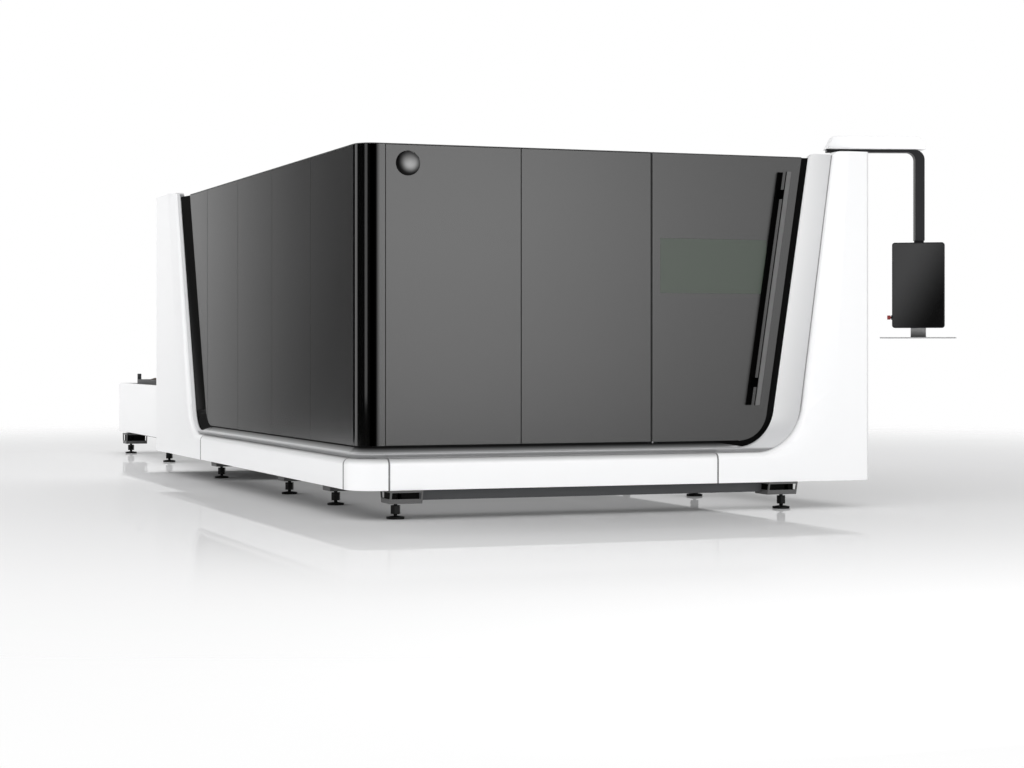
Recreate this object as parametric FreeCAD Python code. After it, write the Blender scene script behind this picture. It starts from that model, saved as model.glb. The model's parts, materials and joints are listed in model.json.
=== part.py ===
"""Fully enclosed fiber laser cutting machine with an exchange table, in millimetres.

The machine's front (inspection door and control arm) faces -Y, +X is to its right and +Z is up.
Everything is drawn from the front left corner of the outer skin on the floor, and moved at the end
so that the origin lies on the floor under the middle of the whole machine.

Each side of the enclosure is drawn in a frame of its own: s runs along the side, d goes inward from
the outer skin, z is up. The front is drawn as it stands. The left side is the mirror picture that
swaps s and d, and the right side is the left one mirrored about the machine's middle plane.
"""
import FreeCAD
import Part
import math
import os

Vector = FreeCAD.Vector

# ---- enclosure -------------------------------------------------------------------------------
enclosure_width = 3016.0
enclosure_length = 5090.0
skirt_bottom = 153.0
skirt_face_top = 283.0
valley_height = 318.0
crest_height = 349.0
slope_top = 376.0
panel_bottom = 384.0
panel_top = 1952.0
trim_top = 1976.0
column_top = 1996.0

panel_inset = 42.0
valley_inset = 34.0
crest_inset = 16.0
trim_back = 46.0
panel_depth = 40.0
frame_inset = panel_inset + panel_depth
frame_tube = 60.0
frame_wall = 4.0
sheet = 4.0
crest_round = 6.0
seam_gap = 3.0
skirt_gap = 2.0
groove_height = 7.0
groove_depth = 6.0
rubber_gap = 2.0
strip_height = 10.0
skirt_return = 24.0
skirt_corner_radius = 150.0
corner_seam = 190.0
panel_corner_radius = 100.0
edge_round = 20.0

# panels along the front and the sides, and where the skirt and the trim are joined
front_panel_width = enclosure_width / 4.0
side_panel_width = enclosure_length / 5.9
corner_panel_end = 184.0
front_seams = tuple(corner_panel_end + number * front_panel_width for number in range(3))
side_seams = tuple(corner_panel_end - 60.0 + number * side_panel_width for number in range(5))
front_column_width = 940.0
rear_column_width = 1490.0
rear_trim_width = 1650.0
front_skirt_seam = enclosure_width - front_column_width
side_skirt_seam = enclosure_length - rear_column_width
side_trim_seam = enclosure_length - rear_trim_width
right_front_seam = 1140.0

# slanted edges of the panels, the silver crest, the valley and the white face: how far the foot of
# each lies from the end of its side, how far it leans from upright, and the radius at its foot
front_margins = {"panel": 646.0, "crest": 623.0, "valley": 447.0, "face": 235.0}
front_angles = {"panel": 8.67, "crest": 8.67, "valley": 7.87, "face": 3.51}
front_radii = {"panel": 168.0, "crest": 230.0, "valley": 280.0, "face": 420.0}
rear_margins = {"panel": 1504.0, "crest": 1318.0, "valley": 1149.0, "face": 883.0}
rear_angles = {"panel": 18.78, "crest": 18.78, "valley": 18.26, "face": 14.52}
rear_radii = {"panel": 170.0, "crest": 200.0, "valley": 280.0, "face": 420.0}
right_margins = {"panel": 890.0, "crest": 866.0, "valley": 700.0, "face": 530.0}
right_radii = {"panel": 168.0, "crest": 200.0, "valley": 260.0, "face": 400.0}
shoulder_top_inset = 22.0

# ---- door, badge -----------------------------------------------------------------------------
door_depth = 36.0
door_nose = 12.0
door_pin_radius = 5.0
running_gap = 0.05
pivot_plate = 8.0
window_side_margin = 53.0
window_past_door_foot = 22.0
window_bottom = 1193.0
window_top = 1491.0
window_glass = 6.0
window_ledge = 14.0
glazing_gap = 0.3
handle_plate_width = 34.0
handle_plate_depth = 6.0
handle_bar_width = 16.0
handle_bar_depth = 18.0
handle_reach = 46.0
handle_top = 1869.0
handle_bottom = 579.0
handle_edge_margin = 121.0
standoff_height = 52.0
standoff_inset = 125.0
badge_radius = 65.0
badge_dome = 9.0
badge_rim = 5.0
badge_x = 307.0
badge_z = 1856.0

# ---- feet ------------------------------------------------------------------------------------
foot_left_x = 252.0
foot_right_x = enclosure_width - 512.0
foot_rows = (85.0, enclosure_length * 0.238, enclosure_length * 0.44, enclosure_length * 0.798)
table_foot_margin = 290.0
table_foot_spacing = 1600.0
table_foot_inset = 60.0
pad_radius = 48.0
pad_height = 17.0
screw_radius = 10.0
nut_across = 46.0
nut_bottom = 27.0
nut_height = 45.0
bracket_bottom = 83.0
bracket_top_length = 190.0
bracket_foot_length = 150.0
bracket_outer = 55.0
bracket_inner = 123.0
bracket_plate = 6.0
bracket_lip = 25.0
bracket_leg = 9.0
table_bracket_top = 171.0

# ---- bed, pallets, exchange table ------------------------------------------------------------
bed_left_x = 187.0
bed_right_x = enclosure_width - 616.0
front_beam_bottom = 96.0
base_beam_width = 90.0
bed_beam_width = 235.0
bed_top = 821.0
bed_start = 400.0
bed_end = enclosure_length - 290.0
bed_window_length = 700.0
bed_window_frame = 40.0
guide_rail_height = 30.0
guide_rail_width = 34.0
pallet_side_gap = 43.5
pallet_width = bed_right_x - bed_left_x - 2.0 * (bed_beam_width + pallet_side_gap)
pallet_inside_start = 1450.0
pallet_inside_end = enclosure_length - 570.0
pallet_length = pallet_inside_end - pallet_inside_start
pallet_outside_start = enclosure_length + 45.0
upper_track_top = 569.0
lower_track_top = 321.0
track_height = 28.0
track_shelf = 110.0
channel_width = 60.0
channel_height = 64.0
cross_bar_height = 34.0
cross_bar_width = 50.0
slat_count = 24
slat_thickness = 4.0
slat_height = 44.0
slat_teeth = 12
tooth_depth = 18.0
corner_stop = 48.0
table_end = pallet_outside_start + pallet_length + 85.0
cross_member_width = 80.0
cross_member_top = 251.0
cover_bottom = 186.0
cover_top = 601.0
cover_depth = 42.0
cover_round = 60.0
table_beam_width = 48.0
passage_bottom = 261.0
passage_top = 721.0
rear_wall_depth = 40.0

# ---- gantry ----------------------------------------------------------------------------------
gantry_rest = 1160.0
gantry_beam_depth = 240.0
gantry_beam_height = 230.0
truck_length = 460.0
truck_height = 110.0
block_height = 26.0
carriage_rest = 560.0
carriage_width = 260.0
carriage_plate = 30.0
head_radius = 48.0
nozzle_tip = 821.0
nozzle_radius = 6.0
slide_length = 420.0
slide_width = 150.0
source_height = 1100.0
source_end_margin = 1490.0
source_door_line = 4.0
source_door_margin = 40.0

# ---- control arm -----------------------------------------------------------------------------
pivot_x = enclosure_width - 79.0
pivot_y = 231.0
arm_angle = -18.0
arm_reach = 473.0
arm_tail = 62.0
tube_width = 54.0
flange_height = 13.0
arm_height = 90.0
seam_above_tube = 17.0
tube_bottom = column_top + flange_height
arm_top = tube_bottom + arm_height
cover_seam = tube_bottom + seam_above_tube
arm_cover_width = 118.0
arm_wall = 4.0
arm_cover_slant = 40.0
spine_width = 40.0
inner_bend = 44.0
outer_bend = 58.0
post_foot_margin = 73.0
post_foot_top_margin = 13.0
post_foot_width = 54.0
pivot_pin_radius = 14.0
pivot_flange_radius = 36.0
monitor_facing = 236.0
monitor_width = 294.0
monitor_bottom = 1008.0
monitor_top = 1494.0
monitor_depth = 42.0
monitor_round = 16.0
monitor_offset = 80.0
screen_margin = 5.0
screen_depth = 3.0
tilt_drop = 33.0
yoke_height = 56.0
yoke_cheek = 10.0
tilt_pin_radius = 9.0
button_radius = 13.0
button_height = monitor_bottom + 60.0
button_travel = 4.0
button_head = 18.0
shelf_width = 420.0
shelf_depth = 200.0
shelf_thickness = 6.0
shelf_height = 952.0
bracket_sheet = 5.0
shelf_bracket_width = 86.0

middle_x = enclosure_width / 2.0
bed_middle = (bed_left_x + bed_right_x) / 2.0
pieces = {}


# ---- small helpers ---------------------------------------------------------------------------
def block(x, y, z):
    """A box between two corners, given as (low, high) in each direction."""
    return Part.makeBox(x[1] - x[0], y[1] - y[0], z[1] - z[0], Vector(x[0], y[0], z[0]))


def rod(radius, start, direction, length):
    return Part.makeCylinder(radius, length, Vector(*start), Vector(*direction))


def outline(points):
    """A face through corner points."""
    corners = [Vector(*point) for point in points]
    return Part.Face(Part.makePolygon(corners + corners[:1]))


def fuse(first, *others):
    joined = first.fuse(list(others)).removeSplitter()
    return joined


def keep(name, *shapes):
    """Put the solids of a piece, or of a group of like pieces, under its name."""
    solids = [solid for shape in shapes for solid in shape.Solids]
    pieces.setdefault(name, []).extend(solids)


def to_left(shape):
    """From a side's own frame to the left side: s becomes Y and d becomes X."""
    return shape.mirror(Vector(0, 0, 0), Vector(1, -1, 0))


def to_right(shape):
    return to_left(shape).mirror(Vector(middle_x, 0, 0), Vector(1, 0, 0))


def back_to_front(shape):
    """Turn a left or right side's rear end into its front end."""
    return shape.mirror(Vector(enclosure_length / 2.0, 0, 0), Vector(1, 0, 0))


# ---- rails and ribbons: the swept mouldings of the enclosure ----------------------------------
def rail(start, bottom, edge, top, inset, top_inset=None):
    """Line, arc and line in a side's frame: along the bottom, round the corner and up the slant."""
    foot, lean, radius = edge
    turn = math.atan2(1.0, lean)
    tangent = radius * math.tan(turn / 2.0)
    rise = bottom + radius

    def on_arc(angle):
        along = foot - tangent + radius * math.sin(angle)
        return Vector(along, inset, rise - radius * math.cos(angle))

    begin = Vector(start, inset, bottom)
    end_inset = inset if top_inset is None else top_inset
    end = Vector(foot + lean * (top - bottom), end_inset, top)
    return [Part.LineSegment(begin, on_arc(0.0)).toShape(),
            Part.Arc(on_arc(0.0), on_arc(turn / 2.0), on_arc(turn)).toShape(),
            Part.LineSegment(on_arc(turn), end).toShape()]


def ribbon(rails):
    """The solid whose section is the ring of points that the rails carry along."""
    faces = []
    for here, there in zip(rails, rails[1:] + rails[:1]):
        faces += [Part.makeRuledSurface(a, b) for a, b in zip(here, there)]
    for stretch, parameter in ((0, "FirstParameter"), (-1, "LastParameter")):
        ring = [line[stretch].valueAt(getattr(line[stretch], parameter)) for line in rails]
        faces.append(outline([tuple(point) for point in ring]))
    shell = Part.makeShell(faces)
    shell.sewShape()
    solid = Part.makeSolid(Part.Shell(shell.Faces))
    if solid.Volume < 0:
        solid.reverse()
    return solid


def slants(end, margins, angles, radii):
    """The four slanted edges of one end of a side, as foot, lean and corner radius."""
    return {part: (end - margins[part], math.tan(math.radians(angles[part])), radii[part])
            for part in margins}


front_edge = slants(enclosure_width, front_margins, front_angles, front_radii)
rear_edge = slants(enclosure_length, rear_margins, rear_angles, rear_radii)
right_edge = slants(enclosure_length, right_margins, front_angles, right_radii)


def shifted(edge, outward, grow):
    return (edge[0] + outward, edge[1], edge[2] + grow)


def shoulder_points():
    """The rounded top of the skirt, from the valley down to the outer face, as (inset, height)."""
    radius = valley_inset
    centre = (valley_inset, skirt_face_top)
    rise = (valley_height - skirt_face_top) / valley_inset
    return [(centre[0] - radius * math.sin(math.radians(angle)),
             centre[1] + radius * rise * math.cos(math.radians(angle))) for angle in (30.0, 60.0)]


def column_leaf(start, edge, end, end_round):
    """A white column's wall on one side, from the skirt seam to the end of the side."""
    upper, lower = shoulder_points()
    step = (edge["face"][0] - edge["valley"][0]) / 8.0
    corner = 2.0
    rails = [rail(start, valley_height, edge["valley"], column_top, valley_inset),
             rail(start, upper[1], shifted(edge["valley"], step / 3.0, 8.0), column_top, upper[0],
                  shoulder_top_inset + 4.0),
             rail(start, lower[1], shifted(edge["valley"], step, 20.0), column_top, lower[0],
                  shoulder_top_inset),
             rail(start, skirt_face_top, edge["face"], column_top, 0.0)]
    if end_round:
        for share in (0.0, 30.0, 60.0, 90.0):
            angle = math.radians(share)
            along = end - edge_round * (1.0 - math.sin(angle))
            inset = edge_round * (1.0 - math.cos(angle))
            rails.append(rail(start, skirt_bottom, (along, 0.0, corner), column_top, inset))
    else:
        rails.append(rail(start, skirt_bottom, (end, 0.0, corner), column_top, 0.0))
    rails.append(rail(start, skirt_bottom, (end, 0.0, corner), column_top, frame_inset))
    rails.append(rail(start, valley_height, edge["valley"], column_top, frame_inset))
    return ribbon(rails)


def groove_inset():
    """Where the silver face ends over the groove, on its slope from the crest to the valley."""
    share = groove_height / (crest_height - crest_round - valley_height)
    return valley_inset - share * (valley_inset - crest_inset)


def trim_band(start, edge):
    """The silver band beside the gasket: a rounded crest, and a face that falls to the groove."""
    crest = edge["crest"]
    lip = shifted(edge["valley"], -groove_height, -groove_height)
    lip_height = valley_height + groove_height
    return ribbon([rail(start, valley_height, edge["valley"], trim_top, trim_back - groove_depth),
                   rail(start, lip_height, lip, trim_top, trim_back - groove_depth),
                   rail(start, lip_height, lip, trim_top, groove_inset()),
                   rail(start, crest_height - crest_round, shifted(crest, crest_round, crest_round),
                        trim_top, crest_inset),
                   rail(start, crest_height, crest, trim_top, crest_inset + crest_round / 2.0),
                   rail(start, crest_height, crest, trim_top, trim_back),
                   rail(start, valley_height, edge["valley"], trim_top, trim_back)])


def gasket_band(start, edge):
    """The rubber wedge from the panel's edge out to the crest of the silver band."""
    panel = shifted(edge["panel"], rubber_gap, rubber_gap)
    crest = edge["crest"]
    back = trim_back + 12.0
    low = panel_bottom - rubber_gap
    return ribbon([rail(start, low, panel, panel_top, trim_back),
                   rail(start, crest_height, crest, panel_top, crest_inset + crest_round / 2.0),
                   rail(start, crest_height, crest, panel_top, back),
                   rail(start, low, panel, panel_top, back)])


def skirt_profile(start):
    """Section of the folded skirt sheet: return, face, rounded shoulder and top ledge."""
    def ring(offset, ledge_end):
        radius = valley_inset - offset
        squash = (valley_height - offset - skirt_face_top)
        middle = math.radians(45.0)
        low = Vector(start, offset, skirt_face_top)
        high = Vector(start, valley_inset, skirt_face_top + squash)
        bulge = Vector(start, valley_inset - radius * math.cos(middle),
                       skirt_face_top + squash * math.sin(middle))
        return low, bulge, high, Vector(start, ledge_end, skirt_face_top + squash)

    low, bulge, high, ledge = ring(0.0, frame_inset)
    low_in, bulge_in, high_in, ledge_in = ring(sheet, frame_inset)
    corners = [Vector(start, 0.0, skirt_bottom), Vector(start, skirt_return, skirt_bottom),
               Vector(start, skirt_return, skirt_bottom + sheet),
               Vector(start, sheet, skirt_bottom + sheet)]
    lines = [Part.LineSegment(corners[0], low), Part.Arc(low, bulge, high),
             Part.LineSegment(high, ledge), Part.LineSegment(ledge, ledge_in),
             Part.LineSegment(ledge_in, high_in), Part.Arc(high_in, bulge_in, low_in),
             Part.LineSegment(low_in, corners[3]), Part.LineSegment(corners[3], corners[2]),
             Part.LineSegment(corners[2], corners[1]), Part.LineSegment(corners[1], corners[0])]
    return Part.Face(Part.Wire([line.toShape() for line in lines]))


def trim_profile(start):
    """Section of the straight trim: tongue, groove, rounded crest, slope up to the rubber strip."""
    tongue = trim_back - groove_depth
    return outline([(start, tongue, valley_height), (start, tongue, valley_height + groove_height),
                    (start, groove_inset(), valley_height + groove_height),
                    (start, crest_inset, crest_height - crest_round),
                    (start, crest_inset + crest_round / 2.0, crest_height),
                    (start, trim_back - 2.0, slope_top), (start, trim_back, slope_top),
                    (start, trim_back, valley_height)])


def strip_profile(start):
    low = slope_top - strip_height
    return outline([(start, trim_back, low), (start, trim_back + 12.0, low),
                    (start, trim_back + 12.0, panel_bottom - rubber_gap),
                    (start, trim_back, panel_bottom - rubber_gap)])


def run(profile, start, end):
    return profile(start).extrude(Vector(end - start, 0, 0))


def around_corner(profile, end):
    """Carry a profile round the front left corner, with a straight piece on each side."""
    radius = skirt_corner_radius
    turned = profile(radius).revolve(Vector(radius, radius, 0), Vector(0, 0, 1), -90)
    front = run(profile, radius, end)
    return fuse(turned, front, to_left(front))


# ---- enclosure pieces ------------------------------------------------------------------------
def make_skirts():
    begin = corner_seam + skirt_gap
    side_end = side_skirt_seam - skirt_gap
    frame_corner = block((frame_inset, enclosure_width), (frame_inset, enclosure_length),
                         (skirt_bottom, valley_height))
    keep("skirt_corner", around_corner(skirt_profile, corner_seam).cut(frame_corner))
    keep("skirt_front", run(skirt_profile, begin, front_skirt_seam - skirt_gap))
    keep("skirt_left", to_left(run(skirt_profile, begin, side_end)))
    keep("skirt_right", to_right(run(skirt_profile, right_front_seam + skirt_gap, side_end)))


def make_columns():
    """White columns: two leaves each, with a cap that carries the control arm on the front one."""
    front_leaf = column_leaf(front_skirt_seam, front_edge, enclosure_width, True)
    side_start = enclosure_length - right_front_seam
    side_end = enclosure_length - frame_inset
    side_leaf = column_leaf(side_start, right_edge, side_end, False)
    side_leaf = to_right(back_to_front(side_leaf))
    cap_left = pivot_x - pivot_flange_radius - edge_round
    cap = block((cap_left, enclosure_width - frame_inset), (frame_inset, pivot_y + 2.0 * pivot_flange_radius),
                (panel_top + 6.5, column_top))
    keep("front_column", fuse(front_leaf, side_leaf, cap))
    rear_leaf = column_leaf(side_skirt_seam, rear_edge, enclosure_length, True)
    keep("rear_left_column", to_left(rear_leaf))
    keep("rear_right_column", to_right(rear_leaf))


def make_trims():
    keep("trim_corner", around_corner(trim_profile, corner_seam))
    keep("trim_front", run(trim_profile, corner_seam, front_skirt_seam))
    keep("trim_left", to_left(run(trim_profile, corner_seam, side_trim_seam)))
    keep("trim_front_column", trim_band(front_skirt_seam, front_edge))
    rear_band = trim_band(side_trim_seam, rear_edge)
    keep("trim_rear_left", to_left(rear_band))
    side_start = enclosure_length - right_front_seam
    front_band = back_to_front(trim_band(side_start, right_edge))
    straight = run(trim_profile, right_front_seam, side_trim_seam)
    keep("trim_right", to_right(front_band), to_right(straight), to_right(rear_band))


def make_gaskets():
    """Rubber: a wedge up each slant and a strip under the panels, notched round the door's pivot."""
    notch = pivot_plate + door_nose + 12.0
    axis_x, _ = door_axis()
    front = fuse(gasket_band(front_skirt_seam, front_edge),
                 run(strip_profile, corner_seam, front_skirt_seam))
    front = front.cut(block((axis_x - notch, axis_x + notch), (0.0, frame_inset),
                            (slope_top - 12.0, panel_bottom)))
    keep("gasket_front", front)
    rear = gasket_band(side_trim_seam, rear_edge)
    keep("gasket_left", fuse(to_left(rear), to_left(run(strip_profile, corner_seam, side_trim_seam)),
                             around_corner(strip_profile, corner_seam)))
    side_start = enclosure_length - right_front_seam
    near = back_to_front(gasket_band(side_start, right_edge))
    keep("gasket_right", to_right(fuse(near, run(strip_profile, right_front_seam, side_trim_seam), rear)))


def pan(start, end, edge=None, shrink=0.0, depth=panel_depth):
    """Solid outline of a panel; edge is the slanted, rounded end of its side, where it reaches it."""
    low = panel_bottom + shrink
    high = panel_top - shrink
    piece = block((start + shrink, end - shrink), (panel_inset, panel_inset + depth), (low, high))
    if edge is None:
        return piece
    lines = rail(0.0, low, shifted(edge, -shrink, -shrink), high, panel_inset)
    end_point = lines[2].valueAt(lines[2].LastParameter)
    top = Part.LineSegment(end_point, Vector(0.0, panel_inset, high)).toShape()
    side = Part.LineSegment(Vector(0.0, panel_inset, high), Vector(0.0, panel_inset, low)).toShape()
    whole = Part.Face(Part.Wire(lines + [top, side])).extrude(Vector(0, depth, 0))
    return whole.common(piece)


def hollow_pan(start, end, edge=None, depth=panel_depth):
    """A folded sheet panel: a face with returned edges, open at the back."""
    inner = pan(start, end, edge, sheet, depth)
    inner.translate(Vector(0, sheet, 0))
    return pan(start, end, edge, 0.0, depth).cut(inner)


def make_panels():
    gap = seam_gap / 2.0
    low, high = panel_bottom, panel_top
    radius = panel_corner_radius
    inset, back = panel_inset, frame_inset
    centre = inset + radius
    ring = Part.makeCylinder(radius, high - low, Vector(centre, centre, low), Vector(0, 0, 1), 90)
    ring.rotate(Vector(centre, centre, low), Vector(0, 0, 1), 180)
    inner = Part.makeCylinder(radius - sheet, high - low, Vector(centre, centre, low))
    front_end = front_seams[0] - gap
    side_end = centre + 2.0 * sheet
    front_side = block((centre, front_end), (inset, inset + sheet), (low, high))
    front_return = block((front_end - sheet, front_end), (inset, back), (low, high))
    left_side = block((inset, inset + sheet), (centre, side_end), (low, high))
    left_return = block((inset, back), (side_end - sheet, side_end), (low, high))
    keep("corner_panel", fuse(ring.cut(inner), front_side, front_return, left_side, left_return))
    keep("front_panel_1", hollow_pan(front_seams[0] + gap, front_seams[1] - gap))
    keep("front_panel_2", hollow_pan(front_seams[1] + gap, front_seams[2] - gap))
    starts = (side_end + seam_gap,) + tuple(seam + gap for seam in side_seams[1:])
    for start, seam in zip(starts, side_seams[1:]):
        keep("left_panels", to_left(hollow_pan(start, seam - gap, rear_edge["panel"])))
    last = hollow_pan(side_seams[-1] + gap, enclosure_length, rear_edge["panel"])
    keep("left_panels", to_left(last))
    middle = enclosure_length - side_seams[2]
    first = back_to_front(hollow_pan(middle + gap, enclosure_length, right_edge["panel"]))
    keep("right_panels", to_right(first), to_right(last))
    for start, seam in zip(side_seams[2:], side_seams[3:]):
        keep("right_panels", to_right(hollow_pan(start + gap, seam - gap, rear_edge["panel"])))


def door_axis():
    """Where the door's vertical pivot stands: the middle of the rounded hinge edge."""
    return front_seams[2] + seam_gap / 2.0 + door_nose, panel_inset + door_nose


def handle_line(height):
    foot, lean, _ = front_edge["panel"]
    return foot - handle_edge_margin + lean * (height - panel_bottom)


def slanted_bar(width, low, high, near, far, shift=0.0):
    """A bar beside the slanted door edge, between two heights and two depths."""
    half = width / 2.0
    base = handle_line(low) + shift
    head = handle_line(high) + shift
    face = outline([(base - half, near, low), (base + half, near, low),
                    (head + half, near, high), (head - half, near, high)])
    return face.extrude(Vector(0, far - near, 0))


def make_door():
    """The door leaf with its round hinge edge, safety window, handle and pivot pins."""
    start = front_seams[2] + seam_gap / 2.0
    axis_x, axis_y = door_axis()
    leaf = hollow_pan(start, enclosure_width, front_edge["panel"], door_depth)
    stile = block((start, start + 3.0 * door_nose), (panel_inset, panel_inset + door_depth),
                  (panel_bottom, panel_top))
    leaf = fuse(leaf, stile)
    corner = [edge for edge in leaf.Edges
              if all(abs(vertex.X - start) < 0.01 and abs(vertex.Y - panel_inset) < 0.01
                     for vertex in edge.Vertexes)]
    leaf = leaf.makeFillet(door_nose, corner)
    ledge_back = panel_inset + window_glass + 2.0 * glazing_gap + sheet
    window_left = start + window_side_margin
    window_right = front_edge["panel"][0] + window_past_door_foot
    frame = block((window_left - 2.0 * window_ledge, window_right + 2.0 * window_ledge),
                  (panel_inset, ledge_back),
                  (window_bottom - 2.0 * window_ledge, window_top + 2.0 * window_ledge))
    leaf = fuse(leaf, frame)
    sight = block((window_left + window_ledge, window_right - window_ledge), (0.0, frame_inset),
                  (window_bottom + window_ledge, window_top - window_ledge))
    seat = block((window_left, window_right), (0.0, panel_inset + window_glass + glazing_gap),
                 (window_bottom, window_top))
    pin_low = slope_top - strip_height
    pin_high = panel_top + 1.5 + sheet
    pin_depth = 60.0
    lower_pin = rod(door_pin_radius, (axis_x, axis_y, pin_low), (0, 0, 1), panel_bottom + pin_depth - pin_low)
    upper_pin = rod(door_pin_radius, (axis_x, axis_y, panel_top - pin_depth), (0, 0, 1),
                    pin_high - panel_top + pin_depth)
    keep("door_panel", leaf.cut([sight, seat, lower_pin, upper_pin]))
    keep("door_pivot_pins", lower_pin, upper_pin)
    glass = block((window_left + glazing_gap, window_right - glazing_gap),
                  (panel_inset + glazing_gap, panel_inset + window_glass + glazing_gap),
                  (window_bottom + glazing_gap, window_top - glazing_gap))
    keep("door_window", glass)
    plate_face = panel_inset - handle_plate_depth
    bar_back = plate_face - handle_reach
    plate = slanted_bar(handle_plate_width, handle_bottom, handle_top, plate_face, panel_inset)
    bar = slanted_bar(handle_bar_width, handle_bottom, handle_top, bar_back - handle_bar_depth, bar_back)
    stands = [slanted_bar(handle_bar_width, height - standoff_height / 2.0,
                          height + standoff_height / 2.0, bar_back, plate_face)
              for height in (handle_bottom + standoff_inset, handle_top - standoff_inset)]
    keep("door_handle", fuse(plate, bar, *stands))


def make_badge():
    """A shallow round dome with a rim, left bare."""
    face = panel_inset
    sphere_radius = (badge_radius ** 2 + badge_dome ** 2) / (2.0 * badge_dome)
    rim = Part.Wire([Part.LineSegment(Vector(0, face, 0), Vector(badge_radius, face, 0)).toShape(),
                     Part.LineSegment(Vector(badge_radius, face, 0),
                                      Vector(badge_radius, face - badge_rim, 0)).toShape(),
                     Part.Arc(Vector(badge_radius, face - badge_rim, 0),
                              Vector(badge_radius / 2.0, face - badge_rim - badge_dome
                                     + sphere_radius - math.sqrt(sphere_radius ** 2
                                                                 - badge_radius ** 2 / 4.0), 0),
                              Vector(0, face - badge_rim - badge_dome, 0)).toShape(),
                     Part.LineSegment(Vector(0, face - badge_rim - badge_dome, 0),
                                      Vector(0, face, 0)).toShape()])
    dome = Part.Face(rim).revolve(Vector(0, 0, 0), Vector(0, 1, 0), 360)
    dome.translate(Vector(badge_x, 0, badge_z))
    keep("badge", dome)


def tube(x, y, z):
    """A square tube along its longest direction."""
    spans = (x, y, z)
    sizes = [high - low for low, high in spans]
    long_way = sizes.index(max(sizes))
    inner = [span if index == long_way else (span[0] + frame_wall, span[1] - frame_wall)
             for index, span in enumerate(spans)]
    return block(*spans).cut(block(*inner))


def make_frame():
    """Posts and rails of square tube, and the plate that carries the door's lower pivot."""
    left, front = frame_inset, frame_inset
    right, rear = enclosure_width - frame_inset, enclosure_length - rear_wall_depth
    size = frame_tube
    roof = panel_top + 1.5
    low = (skirt_bottom, skirt_bottom + size)
    sill = (slope_top - size - strip_height, slope_top - strip_height)
    top = (roof - size, roof)
    for span in (low, sill, top):
        keep("frame_rails", tube((left, left + size), (front, rear), span))
        keep("frame_rails", tube((right - size, right), (front, rear), span))
    axis_x, axis_y = door_axis()
    inner = (left + size, right - size)
    for span in (low, top):
        keep("frame_rails", tube(inner, (front, front + size), span))
        keep("frame_rails", tube(inner, (rear - size, rear), span))
    sill_rail = tube(inner, (front, front + size), sill)
    plate_z = (sill[1], sill[1] + pivot_plate)
    plate = block((axis_x - 2.0 * door_nose, axis_x + 2.0 * door_nose),
                  (trim_back + glazing_gap, front + size / 2.0), plate_z)
    hole = rod(door_pin_radius + running_gap, (axis_x, axis_y, sill[1] - 1.0), (0, 0, 1),
               pivot_plate + 2.0)
    keep("frame_rails", fuse(sill_rail, plate).cut(hole))
    post_z = (sill[1], top[0])
    short_z = (low[1], sill[0])
    hinge_post = front_seams[2] - size - 2.0 * door_nose
    latch_post = front_edge["panel"][0] + front_edge["panel"][1] * (panel_top - panel_bottom) + 30.0
    for x in (inner[0], hinge_post, latch_post):
        keep("frame_posts", tube((x, x + size), (front, front + size), post_z))
        keep("frame_posts", tube((x, x + size), (front, front + size), short_z))
    for y in side_seams[1:4] + (rear - 2.0 * size,):
        for x in (left, right - size):
            keep("frame_posts", tube((x, x + size), (y - size / 2.0, y + size / 2.0), post_z))
            keep("frame_posts", tube((x, x + size), (y - size / 2.0, y + size / 2.0), short_z))
    for x in (inner[0], inner[1] - size):
        keep("frame_posts", tube((x, x + size), (rear - size, rear), (low[1], top[0])))


def make_roof():
    """Three roof panels on the top rails; the front one holds the door's upper pivot."""
    z = (panel_top + 1.5, panel_top + 1.5 + sheet)
    right = enclosure_width - frame_inset
    rear = enclosure_length - rear_wall_depth
    front_end = front_edge["panel"][0] + front_edge["panel"][1] * (panel_top - panel_bottom)
    side_end = rear_edge["panel"][0] + rear_edge["panel"][1] * (panel_top - panel_bottom)
    gap = seam_gap / 2.0
    seams = (front_seams[2], side_seams[3])
    starts = (frame_inset, seams[0] + gap, seams[1] + gap)
    ends = (seams[0] - gap, seams[1] - gap, rear)
    axis_x, axis_y = door_axis()
    for number, (start, end) in enumerate(zip(starts, ends)):
        roof = block((frame_inset, right), (start, end), z)
        if number == 0:
            corner = panel_inset + panel_corner_radius
            lip = block((corner, front_end), (panel_inset, frame_inset), z)
            edge = block((panel_inset, frame_inset), (corner, end), z)
            round_corner = Part.makeCylinder(panel_corner_radius, sheet, Vector(corner, corner, z[0]))
            hole = rod(door_pin_radius + running_gap, (axis_x, axis_y, z[0] - 1.0), (0, 0, 1), 2.0 * sheet)
            cap_left = pivot_x - pivot_flange_radius - edge_round
            far_edge = block((enclosure_width - frame_inset, enclosure_width - panel_inset),
                             (right_front_seam, end), z)
            roof = fuse(roof, lip, edge, round_corner, far_edge).cut(hole)
        else:
            lip_end = min(end, side_end)
            roof = fuse(roof, block((panel_inset, frame_inset), (start, lip_end), z),
                        block((right, enclosure_width - panel_inset), (start, lip_end), z))
        keep("roof_panels", roof)


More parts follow.
